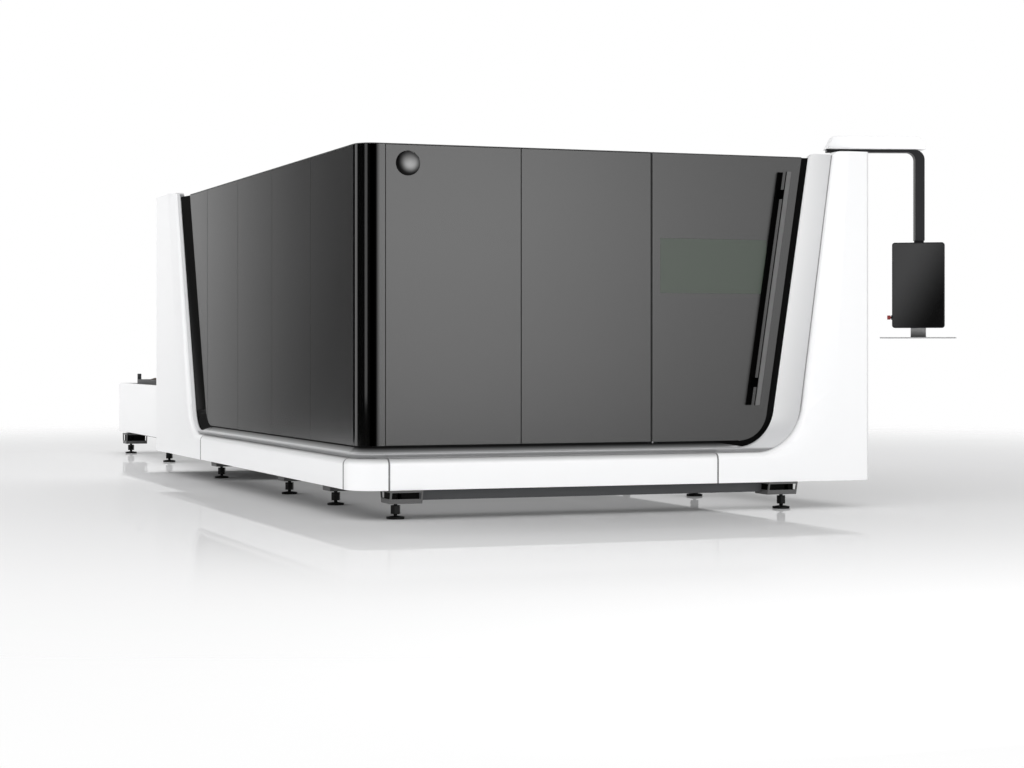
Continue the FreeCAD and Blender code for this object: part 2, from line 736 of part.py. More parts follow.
def make_rear_wall():
    """The back sheet with the pallet passage, between the rear columns."""
    rear = enclosure_length
    wall = block((frame_inset, enclosure_width - frame_inset), (rear - rear_wall_depth, rear),
                 (skirt_bottom, column_top))
    inner = block((frame_inset + sheet, enclosure_width - frame_inset - sheet),
                  (rear - rear_wall_depth, rear - sheet), (skirt_bottom + sheet, column_top - sheet))
    side = pallet_width / 2.0 + pallet_side_gap + 50.0
    rim = block((bed_middle - side - sheet, bed_middle + side + sheet), (rear - rear_wall_depth, rear),
                (passage_bottom - sheet, passage_top + sheet))
    hole = block((bed_middle - side, bed_middle + side), (rear - rear_wall_depth - 1.0, rear + 1.0),
                 (passage_bottom, passage_top))
    keep("rear_wall", fuse(wall.cut(inner), rim).cut(hole))


# ---- feet ------------------------------------------------------------------------------------
def trapezoid(x, y, low, high, half_low, half_high):
    """A block between two x values whose front and back faces lean outward as they rise."""
    profile = outline([(x[0], y - half_low, low), (x[0], y + half_low, low),
                       (x[0], y + half_high, high), (x[0], y - half_high, high)])
    return profile.extrude(Vector(x[1] - x[0], 0, 0))


def make_foot(x, y, top, inward):
    """Hanging tray on four corner legs, with screw, nut and pad; it reaches further inward in X."""
    ends = sorted((x - inward * bracket_outer, x + inward * bracket_inner))
    half_low = bracket_foot_length / 2.0
    half_top = bracket_top_length / 2.0
    lean = (half_top - half_low) / (top - bracket_bottom)

    def half(height, margin):
        return half_low + lean * (height - bracket_bottom) - margin

    def layer(low, high, x_margin, y_margin):
        span = (ends[0] + x_margin, ends[1] - x_margin)
        return trapezoid(span, y, low, high, half(low, y_margin), half(high, y_margin))

    plate = bracket_plate
    window = (bracket_bottom + bracket_lip, top - 2.0 * plate)
    shoe = layer(bracket_bottom, top, 0.0, 0.0)
    hollow = layer(bracket_bottom + plate, top - plate, plate, plate)
    side_window = layer(*window, -1.0, bracket_leg)
    front_window = layer(*window, bracket_leg, -1.0)
    shoe = shoe.cut([hollow, side_window, front_window])
    screw = rod(screw_radius, (x, y, pad_height), (0, 0, 1), top - pad_height - plate - 1.0)
    keep("foot_brackets", shoe.cut(screw))
    keep("foot_screws", screw)
    ring = [(x + nut_across / math.sqrt(3.0) * math.cos(math.radians(60.0 * side)),
             y + nut_across / math.sqrt(3.0) * math.sin(math.radians(60.0 * side)),
             nut_bottom) for side in range(6)]
    nut = outline(ring).extrude(Vector(0, 0, nut_height))
    keep("foot_nuts", nut.cut(screw))
    rim = pad_height * 0.7
    pad = Part.makeCylinder(pad_radius, rim, Vector(x, y, 0))
    dish = Part.makeCone(pad_radius, 1.6 * screw_radius, pad_height - rim, Vector(x, y, rim))
    keep("foot_pads", fuse(pad, dish))


def table_rows():
    """Where the exchange table's feet stand, and the cross members over them."""
    last = table_end - table_foot_margin
    return last - table_foot_spacing, last


def make_feet():
    for x, inward in ((foot_left_x, 1), (foot_right_x, -1)):
        for y in foot_rows:
            make_foot(x, y, skirt_bottom, inward)
    reach = pallet_width / 2.0 + pallet_side_gap + track_shelf - table_foot_inset
    for x, inward in ((bed_middle - reach, 1), (bed_middle + reach, -1)):
        for y in table_rows():
            make_foot(x, y, table_bracket_top, inward)


# ---- bed and pallets -------------------------------------------------------------------------
def bed_sides():
    """Inner faces of the bed beams, left and right of the pallets."""
    half = pallet_width / 2.0 + pallet_side_gap
    return bed_middle - half, bed_middle + half


def make_bed():
    left, right = bed_sides()
    front = frame_inset + frame_tube
    rear = enclosure_length - rear_wall_depth - frame_tube
    base_top = skirt_bottom + frame_tube
    half = base_beam_width / 2.0
    for x in (foot_left_x, foot_right_x):
        keep("base_beams", tube((x - half, x + half), (front, rear), (skirt_bottom, base_top)))
    keep("base_beams", tube((foot_left_x + bracket_inner, foot_right_x - bracket_inner),
                            (frame_inset, front), (front_beam_bottom, skirt_bottom)))
    for y in (foot_rows[1], (foot_rows[2] + foot_rows[3]) / 2.0, foot_rows[3], bed_end - base_beam_width):
        keep("base_beams", tube((foot_left_x + half, foot_right_x - half), (y - half, y + half),
                                (skirt_bottom, base_top)))
        keep("base_beams", tube((foot_right_x + half, enclosure_width - frame_inset - frame_tube),
                                (y - half, y + half), (skirt_bottom, base_top)))
    for inner, sign in ((left, -1), (right, 1)):
        outer = inner + sign * bed_beam_width
        x = (min(inner, outer), max(inner, outer))
        beam = block(x, (bed_start, bed_end), (base_top, bed_top))
        pitch = (bed_end - bed_start) / 4.0
        for number in range(4):
            window_y = bed_start + number * pitch + (pitch - bed_window_length) / 2.0
            beam = beam.cut(block((x[0] + bed_window_frame, x[1] - bed_window_frame),
                                  (window_y, window_y + bed_window_length),
                                  (base_top + bed_window_frame, bed_top - bed_window_frame)))
        keep("bed_beams", beam)
        middle = (x[0] + x[1]) / 2.0
        rail_half = guide_rail_width / 2.0
        keep("guide_rails", block((middle - rail_half, middle + rail_half), (bed_start, bed_end),
                                  (bed_top, bed_top + guide_rail_height)))
        for top in (upper_track_top, lower_track_top):
            shelf = inner - sign * track_shelf
            track_x = (min(inner, shelf), max(inner, shelf))
            keep("pallet_tracks", block(track_x, (pallet_inside_start - 60.0, bed_end),
                                        (top - track_height, top)))


def pallet(start, track_top, frame_name, slat_name):
    """A welded pallet: side channels, cross bars and toothed slats that carry the sheet."""
    left = bed_middle - pallet_width / 2.0
    right = bed_middle + pallet_width / 2.0
    end = start + pallet_length
    z = (track_top, track_top + channel_height)
    frame = [block((left, left + channel_width), (start, end), z),
             block((right - channel_width, right), (start, end), z)]
    bars = 5
    pitch = (pallet_length - cross_bar_width) / (bars - 1)
    for number in range(bars):
        y = start + number * pitch
        height = z[1] if number in (0, bars - 1) else z[0] + cross_bar_height
        frame.append(block((left + channel_width, right - channel_width), (y, y + cross_bar_width),
                           (z[0], height)))
    stop = block((left, left + channel_width / 2.0), (end - channel_width / 2.0, end),
                 (z[1], z[1] + corner_stop))
    keep(frame_name, fuse(*frame, stop))
    slat_left = left + channel_width
    slat_right = right - channel_width
    low = z[0] + cross_bar_height
    pitch_x = (slat_right - slat_left) / slat_teeth
    points = [(slat_left, 0.0, low), (slat_right, 0.0, low)]
    for tooth in range(slat_teeth):
        x = slat_right - tooth * pitch_x
        points.append((x, 0.0, low + slat_height - tooth_depth))
        points.append((x - pitch_x / 2.0, 0.0, low + slat_height))
    points.append((slat_left, 0.0, low + slat_height - tooth_depth))
    first = start + cross_bar_width
    step = (pallet_length - 2.0 * cross_bar_width) / (slat_count + 1)
    slat = outline(points).extrude(Vector(0, slat_thickness, 0))
    for number in range(slat_count):
        copy = slat.copy()
        copy.translate(Vector(0, first + (number + 1) * step - slat_thickness / 2.0, 0))
        keep(slat_name, copy)


def make_table():
    """The exchange table behind the enclosure: beams, cross members, tracks and white covers."""
    left, right = bed_sides()
    start = enclosure_length
    end = table_end - cover_depth
    outer_left = left - track_shelf
    outer_right = right + track_shelf
    beam_z = (table_bracket_top, upper_track_top - track_height)
    for inner, sign in ((left, -1), (right, 1)):
        far = inner + sign * table_beam_width
        keep("table_beams", tube((min(inner, far), max(inner, far)), (start, end), beam_z))
        for top in (upper_track_top, lower_track_top):
            shelf = inner - sign * track_shelf
            track_x = (min(inner, shelf), max(inner, shelf))
            lower = top - track_height
            if top == upper_track_top:
                track_x = (min(far, shelf), max(far, shelf))
            keep("pallet_tracks", block(track_x, (start, end), (lower, top)))
    half = cross_member_width / 2.0
    z = (table_bracket_top, cross_member_top)
    for y in (start + half,) + table_rows():
        keep("table_cross_members", tube((left, right), (y - half, y + half), z))
        for x in ((outer_left + cover_depth, left - table_beam_width),
                  (right + table_beam_width, outer_right - cover_depth)):
            keep("table_cross_members", block(x, (y - half, y + half), z))
    z = (cover_bottom, cover_top)
    shell = block((outer_left, outer_right), (start, table_end), z)
    corners = [edge for edge in shell.Edges if len(edge.Vertexes) == 2
               and abs(edge.Vertexes[0].Y - table_end) < 0.01 and abs(edge.Vertexes[1].Y - table_end) < 0.01
               and abs(edge.Vertexes[0].Z - edge.Vertexes[1].Z) > 1.0]
    shell = shell.makeFillet(cover_round, corners)
    inner = block((outer_left + cover_depth, outer_right - cover_depth), (start - 1.0, end), z)
    keep("table_cover", shell.cut(inner))


# ---- gantry ----------------------------------------------------------------------------------
def make_gantry():
    """Beam on two trucks over the bed, with the carriage, the Z slide and the cutting head."""
    left, right = bed_sides()
    rail_top = bed_top + guide_rail_height
    truck_low = rail_top - 18.0
    truck_top = rail_top + block_height + truck_height
    y = (gantry_rest - truck_length / 2.0, gantry_rest + truck_length / 2.0)
    centres = []
    for inner, sign in ((left, -1), (right, 1)):
        middle = inner + sign * bed_beam_width / 2.0
        centres.append(middle)
        half = guide_rail_width / 2.0
        plate = block((middle - 2.6 * half, middle + 2.6 * half), y, (rail_top + block_height, truck_top))
        solids = [plate]
        for block_y in (y[0] + 30.0, y[1] - 130.0):
            saddle = block((middle - 2.2 * half, middle + 2.2 * half), (block_y, block_y + 100.0),
                           (truck_low, rail_top + block_height))
            groove = block((middle - half - 0.3, middle + half + 0.3), (block_y - 1.0, block_y + 101.0),
                           (truck_low - 1.0, rail_top + 0.3))
            solids.append(saddle.cut(groove))
        keep("gantry_trucks", fuse(*solids))
    beam_y = (gantry_rest - gantry_beam_depth / 2.0, gantry_rest + gantry_beam_depth / 2.0)
    half = 2.6 * guide_rail_width / 2.0
    beam_z = (truck_top, truck_top + gantry_beam_height)
    beam = tube((centres[0] - half, centres[1] + half), beam_y, beam_z)
    face = beam_y[1]
    for z in (beam_z[0] + 30.0, beam_z[1] - 55.0):
        beam = fuse(beam, block((left, right), (face, face + 20.0), (z, z + 25.0)))
    keep("gantry_beam", beam)
    x = (carriage_rest - carriage_width / 2.0, carriage_rest + carriage_width / 2.0)
    plate_y = (face + 26.0, face + 26.0 + carriage_plate)
    carriage = block(x, plate_y, (beam_z[0] - 10.0, beam_z[1] + 10.0))
    for z in (beam_z[0] + 30.0, beam_z[1] - 55.0):
        saddle = block((x[0] + 30.0, x[1] - 30.0), (face + 0.3, plate_y[0]), (z - 15.0, z + 40.0))
        groove = block(x, (face - 1.0, face + 20.3), (z - 0.3, z + 25.3))
        carriage = fuse(carriage, saddle.cut(groove))
    for side in (x[0] + 40.0, x[1] - 60.0):
        carriage = fuse(carriage, block((side, side + 20.0), (plate_y[1], plate_y[1] + 16.0),
                                        (beam_z[0] - 10.0, beam_z[1] + 10.0)))
    keep("carriage", carriage)
    slide_y = (plate_y[1] + 16.3, plate_y[1] + 16.3 + 22.0)
    middle = carriage_rest
    slide_low = nozzle_tip + 150.0
    keep("z_slide", block((middle - slide_width / 2.0, middle + slide_width / 2.0), slide_y,
                          (slide_low, slide_low + slide_length)))
    head_y = slide_y[1] + head_radius
    body_low = nozzle_tip + 100.0
    body = Part.makeCylinder(head_radius, slide_length * 0.75, Vector(middle, head_y, body_low))
    neck = Part.makeCone(head_radius * 0.55, head_radius, 60.0, Vector(middle, head_y, nozzle_tip + 40.0))
    tip = Part.makeCone(nozzle_radius, head_radius * 0.55, 40.0, Vector(middle, head_y, nozzle_tip))
    seat = block((middle - head_radius * 0.7, middle + head_radius * 0.7), (slide_y[1], head_y),
                 (slide_low, slide_low + slide_length * 0.6))
    keep("cutting_head", fuse(body, neck, tip, seat))


def make_source():
    """The laser source and drive cabinet, in the bay between the bed and the right wall."""
    x = (bed_right_x + base_beam_width, enclosure_width - frame_inset - frame_tube - 20.0)
    base = skirt_bottom + frame_tube
    y = (foot_rows[1] - base_beam_width, enclosure_length - source_end_margin)
    cabinet = block(x, y, (base, base + source_height))
    line = source_door_line
    for number in range(1, 4):
        seam = y[0] + number * (y[1] - y[0]) / 4.0
        cabinet = cabinet.cut(block((x[0] - line, x[0] + line), (seam - line / 2.0, seam + line / 2.0),
                                    (base + source_door_margin, base + source_height - source_door_margin)))
    keep("laser_source", cabinet)


# ---- control arm -----------------------------------------------------------------------------
def arm_place(shape):
    """From the arm's own frame (pivot at the origin, reaching along +X) to the machine."""
    shape.rotate(Vector(0, 0, 0), Vector(0, 0, 1), arm_angle)
    shape.translate(Vector(pivot_x, pivot_y, 0))
    return shape


def post_point():
    angle = math.radians(arm_angle)
    return pivot_x + arm_reach * math.cos(angle), pivot_y + arm_reach * math.sin(angle)


def tilt_height():
    return monitor_top - tilt_drop


def post_bottom():
    return monitor_top - post_foot_margin


def bent_outline(left, right, bottom, top, foot):
    """The arm's side view: a flat level leg that bends down, with both corners rounded."""
    low_x = right - tube_width
    ease = 1.0 - math.sqrt(0.5)
    outer, inner = outer_bend, inner_bend
    lines = [Part.LineSegment(Vector(left, 0, bottom), Vector(left, 0, top)),
             Part.LineSegment(Vector(left, 0, top), Vector(right - outer, 0, top)),
             Part.Arc(Vector(right - outer, 0, top), Vector(right - outer * ease, 0, top - outer * ease),
                      Vector(right, 0, top - outer)),
             Part.LineSegment(Vector(right, 0, top - outer), Vector(right, 0, foot)),
             Part.LineSegment(Vector(right, 0, foot), Vector(low_x, 0, foot)),
             Part.LineSegment(Vector(low_x, 0, foot), Vector(low_x, 0, bottom - inner)),
             Part.Arc(Vector(low_x, 0, bottom - inner),
                      Vector(low_x - inner * ease, 0, bottom - inner * ease),
                      Vector(low_x - inner, 0, bottom)),
             Part.LineSegment(Vector(low_x - inner, 0, bottom), Vector(left, 0, bottom))]
    return Part.Face(Part.Wire([line.toShape() for line in lines]))


def cover_outline(left, right, bottom, top):
    """The cover's side view: flat below, a slanted left end and a quarter round at the right."""
    radius = top - bottom
    ease = 1.0 - math.sqrt(0.5)
    corners = [Vector(right, 0, bottom), Vector(left, 0, bottom), Vector(left + arm_cover_slant, 0, top),
               Vector(right - radius, 0, top)]
    lines = [Part.LineSegment(here, there) for here, there in zip(corners, corners[1:])]
    lines.append(Part.Arc(corners[3], Vector(right - radius * ease, 0, top - radius * ease), corners[0]))
    return Part.Face(Part.Wire([line.toShape() for line in lines]))


def thicken(face, width):
    """Extrude a side view to both sides of the arm's middle plane."""
    solid = face.extrude(Vector(0, width, 0))
    solid.translate(Vector(0, -width / 2.0, 0))
    return solid


def make_arm():
    """Pivot on the front column, bent black tube, and the white cover that rests on its level leg."""
    right = arm_reach + tube_width / 2.0
    left = -arm_tail
    tube_solid = thicken(bent_outline(left, right, tube_bottom, cover_seam, post_bottom()), tube_width)
    spine_half = spine_width / 2.0
    spine_x = (-pivot_pin_radius - 8.0, arm_reach - arm_height)
    spine = block(spine_x, (-spine_half, spine_half), (tube_bottom, arm_top - arm_wall - 1.0))
    pin_height = 0.75 * (arm_top - tube_bottom)
    bore = rod(pivot_pin_radius + running_gap, (0, 0, tube_bottom - 1.0), (0, 0, 1), pin_height + 1.0)
    keep("arm_tube", arm_place(fuse(tube_solid, spine).cut(bore)))
    flange = Part.makeCylinder(pivot_flange_radius, flange_height - 0.3, Vector(0, 0, column_top))
    pin = Part.makeCylinder(pivot_pin_radius, flange_height + pin_height - 2.0, Vector(0, 0, column_top))
    keep("arm_pivot", arm_place(fuse(flange, pin)))
    shell = thicken(cover_outline(left - 8.0, right, cover_seam, arm_top), arm_cover_width)
    hollow = thicken(cover_outline(left - 8.0 + 2.0 * arm_wall, right - arm_wall, cover_seam + arm_wall,
                                   arm_top - arm_wall), arm_cover_width - 2.0 * arm_wall)
    slot_half = spine_half + glazing_gap
    slot = block((spine_x[0] - glazing_gap, spine_x[1] + glazing_gap), (-slot_half, slot_half),
                 (cover_seam - 1.0, cover_seam + arm_wall + 1.0))
    keep("arm_cover", arm_place(shell.cut([hollow, slot])))


def monitor_place(shape):
    """From the monitor's own frame (post at the origin, facing -Y) to the machine."""
    shape.rotate(Vector(0, 0, 0), Vector(0, 0, 1), monitor_facing - 270.0)
    shape.translate(Vector(*post_point(), 0))
    return shape


def make_monitor():
    """Housing with its glass, the tilt yoke behind it, stop button, bracket and keyboard shelf."""
    half = monitor_width / 2.0
    back = -monitor_offset + monitor_depth
    z = (monitor_bottom, monitor_top)
    housing = block((-half, half), (-monitor_offset, back), z)
    upright = [edge for edge in housing.Edges if len(edge.Vertexes) == 2
               and abs(edge.Vertexes[0].Y - edge.Vertexes[1].Y) > 1.0]
    housing = housing.makeFillet(monitor_round, upright)
    screen_seat = block((-half + screen_margin, half - screen_margin),
                        (-monitor_offset - 1.0, -monitor_offset + screen_depth),
                        (z[0] + screen_margin, z[1] - screen_margin))
    seat_edges = [edge for edge in screen_seat.Edges if len(edge.Vertexes) == 2
                  and abs(edge.Vertexes[0].Y - edge.Vertexes[1].Y) > 1.0]
    screen_seat = screen_seat.makeFillet(monitor_round - screen_margin, seat_edges)
    keep("monitor_screen", monitor_place(screen_seat.common(
        block((-half, half), (-monitor_offset, 0.0), z))))
    button_y = -monitor_offset + monitor_depth / 2.0
    stem = rod(button_radius * 0.5 + running_gap, (-half - 7.0, button_y, button_height), (1, 0, 0), 27.0)
    collar = rod(button_radius, (-half - 6.0, button_y, button_height), (1, 0, 0), 8.0)
    yoke_low = tilt_height() - yoke_height / 2.0
    yoke_high = tilt_height() + yoke_height / 2.0
    room_half = post_foot_width / 2.0 + glazing_gap
    cheek_out = room_half + yoke_cheek
    yoke = block((-cheek_out, cheek_out), (back, 1.6 * tilt_pin_radius), (yoke_low, yoke_high))
    room = block((-room_half, room_half), (back, 2.0 * tilt_pin_radius),
                 (yoke_low - 1.0, yoke_high + 1.0))
    pin = rod(tilt_pin_radius, (-cheek_out, 0.0, tilt_height()), (1, 0, 0), 2.0 * cheek_out)
    housing = fuse(housing, collar, yoke.cut(room)).cut([screen_seat, stem])
    housing = fuse(housing, pin)
    keep("monitor_housing", monitor_place(housing))
    head = rod(button_radius * 0.92, (-half - 6.0 - button_travel - button_head, button_y, button_height),
               (1, 0, 0), button_head)
    shaft = rod(button_radius * 0.5, (-half - 6.0 - button_travel, button_y, button_height), (1, 0, 0),
                button_travel + 20.0)
    keep("stop_button", monitor_place(fuse(head, shaft)))
    shelf_top = shelf_height + shelf_thickness / 2.0
    front = -monitor_offset - shelf_depth / 2.0
    shelf = block((-shelf_width / 2.0, shelf_width / 2.0), (front, front + shelf_depth),
                  (shelf_top - shelf_thickness, shelf_top))
    corners = [edge for edge in shelf.Edges if len(edge.Vertexes) == 2
               and abs(edge.Vertexes[0].Z - edge.Vertexes[1].Z) > 1.0]
    keep("keyboard_shelf", monitor_place(shelf.makeFillet(monitor_round, corners)))
    half_bracket = shelf_bracket_width / 2.0
    bracket_y = -monitor_offset + 6.0
    upright_plate = block((-half_bracket, half_bracket), (bracket_y, bracket_y + bracket_sheet),
                          (shelf_top, monitor_bottom))
    foot = block((-half_bracket, half_bracket), (bracket_y, bracket_y + 60.0),
                 (shelf_top, shelf_top + bracket_sheet))
    flange = block((-half_bracket, half_bracket), (bracket_y, bracket_y + 30.0),
                   (monitor_bottom - bracket_sheet, monitor_bottom))
    keep("shelf_bracket", monitor_place(fuse(upright_plate, foot, flange)))


def tilt_bore():
    """The hole through the arm's post for the monitor's tilt pin."""
    bore = rod(tilt_pin_radius + running_gap, (-tube_width, 0.0, tilt_height()), (1, 0, 0),
               2.0 * tube_width)
    return monitor_place(bore)


def finish_post():
    """Turn the foot of the post to face the monitor, and bore it for the tilt pin."""
    x, y = post_point()
    tube_solid = pieces["arm_tube"][0]
    cut_top = monitor_top + post_foot_top_margin
    away = block((x - tube_width, x + tube_width), (y - tube_width, y + tube_width),
                 (post_bottom() - 1.0, cut_top))
    half = post_foot_width / 2.0
    foot = monitor_place(block((-half, half), (-half, half), (post_bottom(), cut_top)))
    pieces["arm_tube"] = fuse(tube_solid.cut(away), foot).cut(tilt_bore()).Solids


# ---- build -----------------------------------------------------------------------------------
def place_origin():
    """Move everything so that the origin is on the floor under the middle of the machine."""
    box = Part.makeCompound([solid for group in pieces.values() for solid in group]).optimalBoundingBox(False)
    shift = Vector(-(box.XMin + box.XMax) / 2.0, -(box.YMin + box.YMax) / 2.0, 0.0)
    for group in pieces.values():
        for solid in group:
            solid.translate(shift)
    print("shift %.4f %.4f, size %.1f x %.1f x %.1f" % (shift.x, shift.y, box.XLength, box.YLength, box.ZMax))


def main():
    make_skirts()
    make_columns()
    make_trims()
    make_gaskets()
    make_panels()
    make_door()
    make_badge()
    make_frame()
    make_roof()
    make_rear_wall()
    make_feet()
    make_bed()
    pallet(pallet_outside_start, upper_track_top, "upper_pallet_frame", "upper_pallet_slats")
    pallet(pallet_inside_start, lower_track_top, "lower_pallet_frame", "lower_pallet_slats")
    make_table()
    make_gantry()
    make_source()
    make_arm()
    make_monitor()
    finish_post()
    place_origin()
    os.makedirs("parts", exist_ok=True)
    for name, solids in pieces.items():
        shape = solids[0] if len(solids) == 1 else Part.makeCompound(solids)
        shape.exportStep("parts/%s.step" % name)
        print("%-22s solids %3d valid %s volume %.5f m3" % (name, len(solids), shape.isValid(),
                                                           shape.Volume / 1e9))


main()
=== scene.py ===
"""Looks of a fully enclosed fiber laser cutting machine with an exchange table.

The packed model is the fixed frame: every piece here keeps its place and rides on its bodies.
Sizes are in metres, +Y runs from the door to the exchange table, +X is the machine's right.
"""
import json
import math

import bmesh
import bpy
from bpy.props import FloatProperty, FloatVectorProperty, PointerProperty
from bpy.types import Operator, Panel, PropertyGroup
from mathutils import Matrix, Vector

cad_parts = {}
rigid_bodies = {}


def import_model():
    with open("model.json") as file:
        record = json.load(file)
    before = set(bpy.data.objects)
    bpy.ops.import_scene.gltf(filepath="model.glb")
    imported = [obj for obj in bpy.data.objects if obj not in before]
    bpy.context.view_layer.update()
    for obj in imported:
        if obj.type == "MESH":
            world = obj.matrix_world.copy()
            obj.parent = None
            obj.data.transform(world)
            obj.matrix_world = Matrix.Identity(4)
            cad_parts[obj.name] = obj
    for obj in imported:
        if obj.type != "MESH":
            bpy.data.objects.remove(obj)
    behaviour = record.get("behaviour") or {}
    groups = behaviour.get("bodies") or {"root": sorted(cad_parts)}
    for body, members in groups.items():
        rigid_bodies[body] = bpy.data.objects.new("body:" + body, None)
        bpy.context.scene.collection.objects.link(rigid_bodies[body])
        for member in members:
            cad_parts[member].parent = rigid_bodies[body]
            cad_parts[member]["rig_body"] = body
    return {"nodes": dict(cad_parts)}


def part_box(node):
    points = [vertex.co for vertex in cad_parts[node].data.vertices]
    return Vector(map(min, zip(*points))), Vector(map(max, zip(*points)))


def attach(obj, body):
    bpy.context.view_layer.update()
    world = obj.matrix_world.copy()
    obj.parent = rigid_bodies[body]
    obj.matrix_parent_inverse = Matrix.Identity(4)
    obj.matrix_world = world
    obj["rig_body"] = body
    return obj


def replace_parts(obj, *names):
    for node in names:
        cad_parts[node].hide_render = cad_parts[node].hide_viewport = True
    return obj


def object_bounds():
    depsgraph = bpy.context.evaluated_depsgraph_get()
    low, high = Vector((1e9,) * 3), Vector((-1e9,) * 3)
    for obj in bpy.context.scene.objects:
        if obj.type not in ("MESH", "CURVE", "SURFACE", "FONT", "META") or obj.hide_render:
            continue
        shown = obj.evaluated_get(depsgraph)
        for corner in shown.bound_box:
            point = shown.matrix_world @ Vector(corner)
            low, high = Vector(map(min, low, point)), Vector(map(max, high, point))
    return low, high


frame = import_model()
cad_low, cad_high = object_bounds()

bl_info = {
    "name": "Enclosed Laser Cutter",
    "version": (1, 0, 0),
    "blender": (4, 5, 0),
    "location": "View3D > Sidebar > Laser Cutter",
    "description": "Finishes, small fittings and a studio for an enclosed laser cutting machine",
    "category": "Object",
}

# Metres: how near vertices are merged, how near heights are level, and the radii of soft edges
MERGE_DISTANCE, SAME_HEIGHT = 0.00001, 0.0005
FINE_EDGE, THIN_EDGE, SMALL_EDGE, HEAD_EDGE, SHEET_EDGE = 0.0008, 0.001, 0.0012, 0.0015, 0.0016
MACHINED_EDGE, HOUSING_EDGE, TUBE_EDGE, COVER_EDGE, CAST_EDGE = 0.002, 0.0022, 0.003, 0.0035, 0.004

nodes = frame["nodes"]
skirt_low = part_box("skirt_corner")[0]
machine_corner = Vector((skirt_low.x, skirt_low.y, 0.0))
# Where the mouldings turn up into the columns, and the upper end of the silver slope below them
front_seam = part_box("trim_front_column")[0].x
rear_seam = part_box("trim_rear_left")[0].y
right_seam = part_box("skirt_right")[0].y
slope_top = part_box("trim_front")[1].z
# How far the slanted edges lean from upright, at the white columns and at the silver bands
front_column_lean, rear_column_lean = math.radians(7.87), math.radians(18.26)
front_band_lean, rear_band_lean = math.radians(8.67), math.radians(18.78)


def at(x, y, z):
    """A point given in millimetres from the front left corner of the machine's outer skin."""
    return machine_corner + Vector((x, y, z)) / 1000.0


# ---- settings ----------------------------------------
def colour(name, description, default):
    return FloatVectorProperty(name=name, description=description, default=default, size=3,
                               subtype="COLOR", min=0.0, max=1.0)


def amount(name, description, default, **kind):
    return FloatProperty(name=name, description=description, default=default, min=0.0, **kind)


def length(name, description, default):
    return amount(name, description, default, unit="LENGTH", subtype="DISTANCE")


def power(name, description, default):
    return amount(name, description, default, unit="POWER")


class StageSettings(PropertyGroup):
    """The plain studio round the machine"""
    floor: colour("Floor", "Colour of the floor", (0.935, 0.935, 0.94))
    gloss: amount("Gloss", "Share that the floor mirrors at the machine", 0.32, max=1.0,
                  subtype="FACTOR")
    gloss_reach: length("Gloss reach", "How far in front of the machine the floor mirrors", 4.2)
    gloss_side: length("Gloss side", "How far beside and behind the machine it mirrors", 2.6)
    clear: length("Clear floor", "Radius within which the floor doesn't fade into the white", 4.6)
    sky: amount("Surroundings", "Strength of the light from all sides", 0.82)
    lean: amount("Lean", "How much stronger that light is from the left", 0.38)
    back: amount("Back", "How much stronger that light is from behind", 0.16)
    ceiling: amount("Ceiling", "Strength of the ceiling in reflections", 0.25)
    front: power("Front lamp", "Power of the low, wide lamp at the front", 172.0)
    key: power("Key lamp", "Power of the lamp above on the left", 24.0)
    edge: power("Edge lamp", "Power of the lamp that draws the corner", 13.0)
    side: power("Side lamp", "Power of the wide lamp far out on the left", 96.0)
    under: power("Fill", "Power of the fill under the machine", 9.0)
    left_glow: amount("Left card", "Glow that the left side reflects", 0.82)
    front_glow: amount("Front card", "Glow that the front reflects", 2.0)


class MouldingSettings(PropertyGroup):
    """White skirt and columns, silver bands and rubber"""
    white: colour("White", "Powder coat of the skirt and the columns", (0.945, 0.948, 0.955))
    silver: colour("Silver", "Band beside the rubber", (0.76, 0.765, 0.775))
    rubber: colour("Rubber", "Seal between band and panels", (0.003, 0.003, 0.003))
    edge: length("Edge", "Radius of the folded sheet's edges", 0.0016)
    shoulder: length("Shoulder", "Radius at the top of the bands and the columns", 0.045)


class PanelSettings(PropertyGroup):
    """Dark grey sheet panels"""
    grey: colour("Grey", "Powder coat of the panels", (0.026, 0.026, 0.026))
    edge: length("Edge", "Radius of a panel's folded edges", 0.0018)
    roof: colour("Roof", "Powder coat of the roof", (0.080, 0.081, 0.082))
    badge: colour("Badge", "Metal of the round badge, left bare", (0.40, 0.40, 0.40))
    screw: length("Screw", "Radius of the roof's screw heads", 0.0075)
    screw_pitch: length("Screw pitch", "Distance between the roof's screws", 0.42)


class DoorSettings(PropertyGroup):
    """Inspection door"""
    tint: colour("Window", "Tinted safety window", (0.042, 0.056, 0.042))
    # this black also paints shade on the sides of the handle bar
    plate: colour("Plate", "Back plate and standoffs of the handle", (0.001, 0.001, 0.001))
    handle: colour("Handle", "Handle bar", (0.150, 0.150, 0.150))
    bar_shift: length("Bar shift", "How far the bar is set towards the seal from its plate", 0.022)
    bar_spread: length("Bar spread", "How much wider each side of the bar is", 0.005)


class FootSettings(PropertyGroup):
    """Levelling feet"""
    zinc: colour("Zinc", "Blackened steel of the feet", (0.022, 0.022, 0.022))
    bracket: colour("Bracket", "Paint of the foot brackets", (0.11, 0.11, 0.11))


class InsideSettings(PropertyGroup):
    """Frame, bed, gantry and pallets"""
    frame: colour("Frame", "Paint of the tube frame", (0.055, 0.057, 0.060))
    bed: colour("Bed", "Paint of the bed and the pallets", (0.045, 0.048, 0.052))
    slat: colour("Slat", "Bare plate of the slats", (0.24, 0.22, 0.20))
    steel: colour("Steel", "Ground steel of rails and pins", (0.56, 0.56, 0.57))
    gantry: colour("Gantry", "Paint of the gantry beam", (0.62, 0.63, 0.64))


